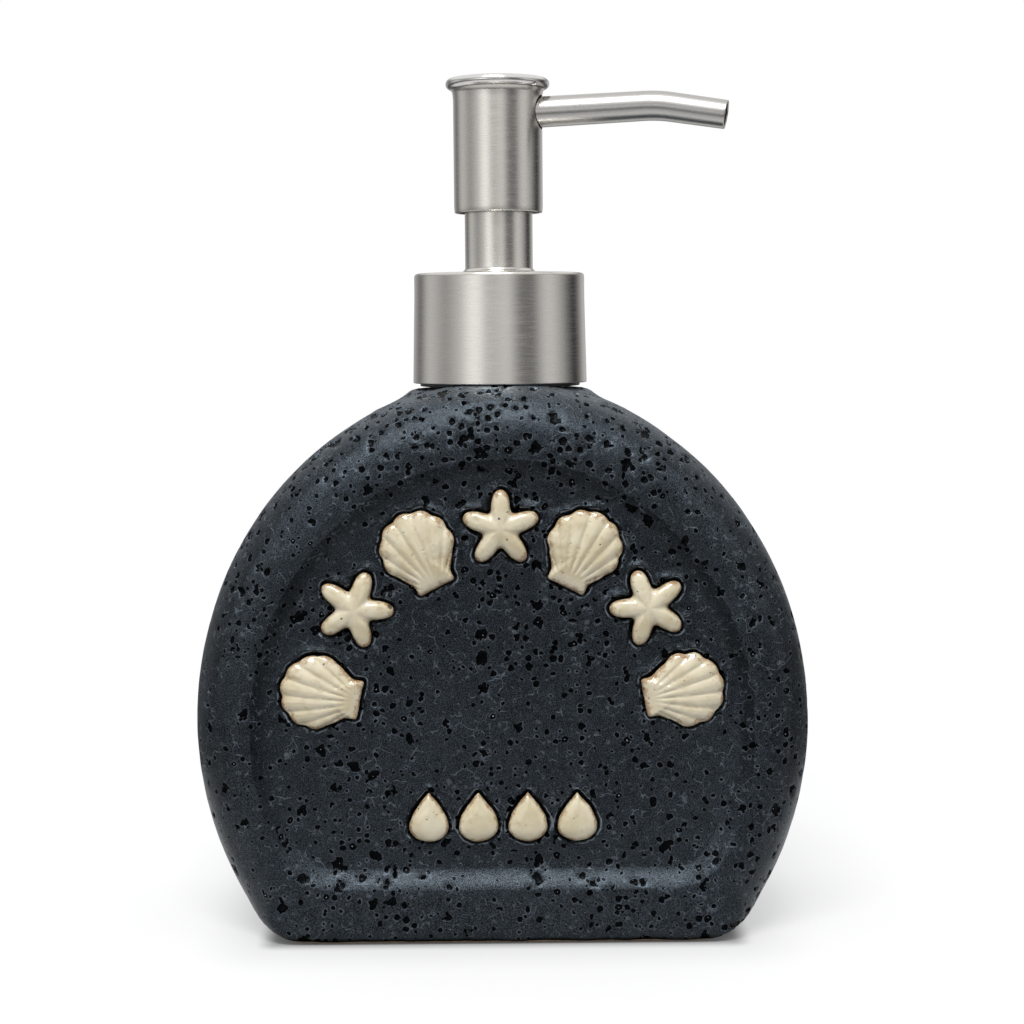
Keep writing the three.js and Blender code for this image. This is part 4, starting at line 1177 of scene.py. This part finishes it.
spout = {"root": 0.004, "bend": 0.0308, "span": 0.0026, "tip": 0.0436, "rise": radians(1.5),
         "fall": radians(9.5), "heading": radians(-12), "radius": 0.00293, "tipRadius": 0.00268,
         "wall": 0.00045, "lip": 0.00016, "drop": 0.0045, "slip": 0.0003}


def spoutLine(reach):
    rise, fall = tan(spout["rise"]), tan(spout["fall"])
    past, span = reach - spout["bend"], spout["span"]
    peak = rise * spout["bend"]
    if past < -span:
        return rise * reach
    if past > span:
        return peak - fall * past
    share = (past + span) / (2 * span)
    start, end = peak - rise * span, peak - fall * span
    return (1 - share) ** 2 * start + 2 * share * (1 - share) * peak + share ** 2 * end


def spoutPoint(reach, height, side=0):
    return Matrix.Rotation(spout["heading"], 3, "Z") @ Vector((reach, side, height))


def spoutRod(name, radius, start, end):
    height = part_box("head_shell")[1].z - spout["drop"]
    rise = tan(spout["rise"])
    return rod(name, radius, spoutPoint(start, height + rise * start), spoutPoint(end, height + rise * end))


def makeSpout():
    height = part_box("head_shell")[1].z - spout["drop"]
    steps = 72
    root, tip, wall, lip = spout["root"], spout["tip"], spout["wall"], spout["lip"]
    low, high = spout["bend"] - spout["span"], spout["bend"] + spout["span"]
    path = [root + (low - root) * i / 12 for i in range(12)]
    path += [low + 2 * spout["span"] * i / 14 for i in range(15)]
    path += [high + (tip - high) * i / 6 for i in range(1, 6)]
    outer = [(reach, 0.0) for reach in path + [tip - 2 * lip, tip - lip]]
    for k in range(1, 5):
        turn = pi / 2 * k / 4
        outer.append((tip - lip + lip * sin(turn), lip * (1 - cos(turn))))
    inner = [(tip, wall - lip), (tip - lip, wall)] + [(reach, wall) for reach in reversed(path)]
    rings, runs = [], []
    small = 1e-5
    for reach, inset in outer + inner:
        slope = atan2(spoutLine(reach + small) - spoutLine(reach - small), 2 * small)
        share = (reach - root) / (tip - root)
        radius = spout["radius"] + (spout["tipRadius"] - spout["radius"]) * share - inset
        level = height + spoutLine(reach)
        rings.append([spoutPoint(reach - p[1] * sin(slope), level + p[1] * cos(slope), p[0])
                      for p in circle(radius, radius, 0, steps)])
        runs.append(reach)
    tube = skinned("spoutTube", rings, runs + runs[:1])
    finished(tube, "head", "spoutSteel", "steel", "spout_tube")


def makeCore():
    look = {"length": 0.0088, "socketWall": 0.0015, "socket": 0.0035, "depth": 0.0011, "peak": 0.0003,
            "channel": 0.0018, "seatEnd": 0.02}
    radius, bottom, top = spanOf("actuator_core")
    low = top - look["length"]
    socketOut = look["socket"] + look["socketWall"]
    core = turned("actuatorCore", [
        (0, low + look["depth"] + look["peak"], 0), (look["socket"], low + look["depth"], 0.0002),
        (look["socket"], bottom, 0.0002), (socketOut, bottom, 0.0003), (socketOut, low, 0.0004),
        (radius, low, 0.0003), (radius, top, 0.0003), (0, top, 0)], False, 96)
    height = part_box("head_shell")[1].z - spout["drop"]
    cut(core, rod("riser", look["channel"], (0, 0, low - 0.001), (0, 0, height), 48))
    cut(core, spoutRod("channel", look["channel"], -look["channel"] / 2, spout["root"] + 0.0005))
    cut(core, spoutRod("seat", spout["radius"] + spout["slip"], spout["root"] - spout["slip"],
                       look["seatEnd"]))
    smoothOver(core)
    finished(core, "head", "black", "black_plastic", "actuator_core")


def makeHeadShell():
    look = {"wall": 0.0006, "flare": 0.0005}
    radius, bottom, top = spanOf("head_shell")
    outer = radius - look["flare"]
    bore = outer - look["wall"]
    shellPiece = turned("headShell", [
        (bore, bottom, 0.00012), (outer - 0.0001, bottom, 0.00028), (outer, bottom + 0.0009, 0.0005),
        (outer, top - 0.0018, 0.0010), (outer + 0.00012, top - 0.0005, 0.0004),
        (radius - 0.0001, top + 0.00014, 0.00002), (bore, top + 0.00014, 0.0001)], steps=160, fillets=6)
    cut(shellPiece, spoutRod("spoutHole", spout["radius"] + spout["slip"], 0, 2 * radius))
    smoothOver(shellPiece)
    finished(shellPiece, "head", "steel", "steel", "head_shell")


def makeHeadCap():
    # a rolled rim round a shallow dish
    look = {"bead": 0.00095, "dish": 0.00035}
    radius, bottom, top = spanOf("head_cap")
    centre = radius - look["bead"]
    middle = bottom + look["bead"]
    plate = top - look["dish"]
    roll = [(centre + look["bead"] * cos(radians(a)), middle + look["bead"] * sin(radians(a)))
            for a in range(-90, 91, 6)]
    inside = softProfile([(centre, top, 0), (centre - 0.0011, plate, 0.0008), (0, plate, 0)], False, 6)
    cap = lathe("headCap", [(0, bottom)] + roll + inside[1:], False, 160)
    finished(cap, "head", "rimSteel", "polished_steel", "head_cap")


for make in (makeClosureCap, makeCollar, makeWasher, makeHousing, makeChaplet, makeSleeve, makeDipTube,
             makeSpring, makeBall, makePiston, makeStem, makePlug, makeSpout, makeCore, makeHeadShell,
             makeHeadCap):
    make()
print("pump is ready")


def makeFloor():
    # it glows for the eye, so that its rim meets the white beyond, and less so close to the foot, as a
    # painted contact shadow
    look = {"reach": 0.135, "middle": 0.1, "below": 0.00002, "grey": (0.30, 0.30, 0.30, 1), "glow": 0.60,
            "foot": (0.0425, 0.0222, 1)}
    steps = 96
    bm = bmesh.new()
    rings = [[bm.verts.new(p) for p in circle(r, r, -look["below"], steps)]
             for r in (look["middle"], look["reach"])]
    bm.faces.new(rings[0])
    for k in range(steps):
        bm.faces.new((rings[0][k], rings[1][k], rings[1][(k + 1) % steps], rings[0][(k + 1) % steps]))
    floor = pieceOf("floor", bm)
    material, shader = startMaterial("paleFloor")
    feed(shader, {"Base Color": look["grey"], "Roughness": 0.9, "Specular IOR Level": 0.0})
    spread = vectorMaths("SUBTRACT", vectorMaths("ABSOLUTE", ownPlace()), look["foot"])
    away = vectorMaths("LENGTH", vectorMaths("MAXIMUM", spread, (0, 0, 0)))
    path = put("ShaderNodeLightPath").outputs
    seen = larger(path["Is Camera Ray"], path["Is Glossy Ray"], path["Is Transmission Ray"])
    # painted contact shadow: the glow falls off towards the foot's outline
    near = times(ramped(away, 0.0, 0.0045, 0.14, 1.0), ramped(away, 0.0, 0.018, 0.80, 1.0))
    glow = put("ShaderNodeEmission", {"Color": (1, 1, 1, 1), "Strength": times(seen, near, look["glow"])})
    both = put("ShaderNodeAddShader", {0: shader.outputs[0], 1: glow.outputs[0]})
    feed(material.node_tree.nodes["Material Output"], {"Surface": both.outputs[0]})
    floor.data.materials.append(material)


def makeCamera():
    look = {"away": 0.3684, "height": 0.115, "side": 0.0021, "down": radians(5.62), "roll": radians(0.48),
            "lens": 66.8, "sensor": 36}
    data = bpy.data.cameras.new("camera")
    data.lens, data.sensor_width = look["lens"], look["sensor"]
    data.clip_start = 0.01
    camera = placed("camera", data)
    camera.matrix_world = (Matrix.Translation((look["side"], -look["away"], look["height"]))
                           @ Matrix.Rotation(pi / 2 - look["down"], 4, "X")
                           @ Matrix.Rotation(-look["roll"], 4, "Z"))
    scene.camera = camera


def makeStudio():
    # a round studio: soft bands of light and shade by direction, a pale ceiling and a dark floor edge
    bands = [(-180, 0.42), (-160, 0.48), (-146, 0.34), (-130, 0.22), (-112, 0.66), (-96, 0.66), (-78, 0.44),
             (-64, 0.60), (-51, 0.90), (-40, 1.42), (-28, 1.45), (-18, 0.84), (-6, 0.70), (8, 0.88),
             (16, 0.72), (26, 0.28), (38, 0.14), (48, 0.26), (58, 0.68), (70, 0.86), (82, 0.70),
             (97, 0.36), (112, 0.07), (124, 0.07), (138, 0.36), (150, 0.56), (162, 0.56), (180, 0.42)]
    look = {"brightest": 2.0, "edge": (0.10, 0.10, 0.10, 1), "wall": (0.30, 0.30, 0.30, 1),
            "ceiling": (1.10, 1.11, 1.13, 1)}
    world = bpy.data.worlds.new("studio")
    scene.world = world
    world.use_nodes = True
    world.node_tree.nodes.clear()
    drawing["tree"] = world.node_tree
    aim = put("ShaderNodeTexCoord").outputs["Generated"]
    up = axis(aim, "Z")
    turn = maths("ARCTAN2", axis(aim, "X"), times(axis(aim, "Y"), -1.0))
    band = put("ShaderNodeValToRGB", {"Fac": maths("MULTIPLY_ADD", turn, 1 / (2 * pi), 0.5)})
    stops = band.color_ramp
    stops.interpolation = "CARDINAL"
    for angle, level in bands[1:-1]:
        stops.elements.new(angle / 360 + 0.5)
    for stop, (angle, level) in zip(stops.elements, bands):
        stop.color = [level / look["brightest"]] * 3 + [1]
    strip = times(ramped(up, -0.20, -0.08), fading(up, 0.14, 0.30))
    gap = mixed(ramped(up, -0.02, 0.10), look["edge"], look["wall"])
    around = mixed(strip, gap, vectorMaths("SCALE", band.outputs["Color"], look["brightest"]))
    whole = mixed(ramped(up, 0.28, 0.62), around, look["ceiling"])
    # the backdrop is white to the eye and through clear parts; metal sees it over and under the bands
    path = put("ShaderNodeLightPath").outputs
    seen = larger(path["Is Camera Ray"], path["Is Transmission Ray"])
    clear = larger(ramped(up, 0.28, 0.62), fading(up, -0.55, -0.35, 0.8))
    clear = times(path["Is Glossy Ray"], clear)
    shown = mixed(larger(seen, clear), whole, (1, 1, 1, 1))
    light = put("ShaderNodeBackground", {"Color": shown, "Strength": 1.0})
    put("ShaderNodeOutputWorld", {"Surface": light.outputs[0]})


def makeLamp(name, place, aim, size, power):
    data = bpy.data.lights.new(name, "AREA")
    data.shape, data.size, data.size_y, data.energy = "RECTANGLE", size[0], size[1], power
    way = Vector(aim) - Vector(place)
    turn = way.to_track_quat("-Z", "Y").to_matrix().to_4x4()
    placed(name, data).matrix_world = Matrix.Translation(place) @ turn


makeFloor()
makeCamera()
makeStudio()
makeLamp("topSoftbox", (-0.08, -0.42, 0.79), (0, 0, 0.08), (0.42, 0.18), 5.2)
scene.view_settings.view_transform = "Standard"
print("stage is ready")
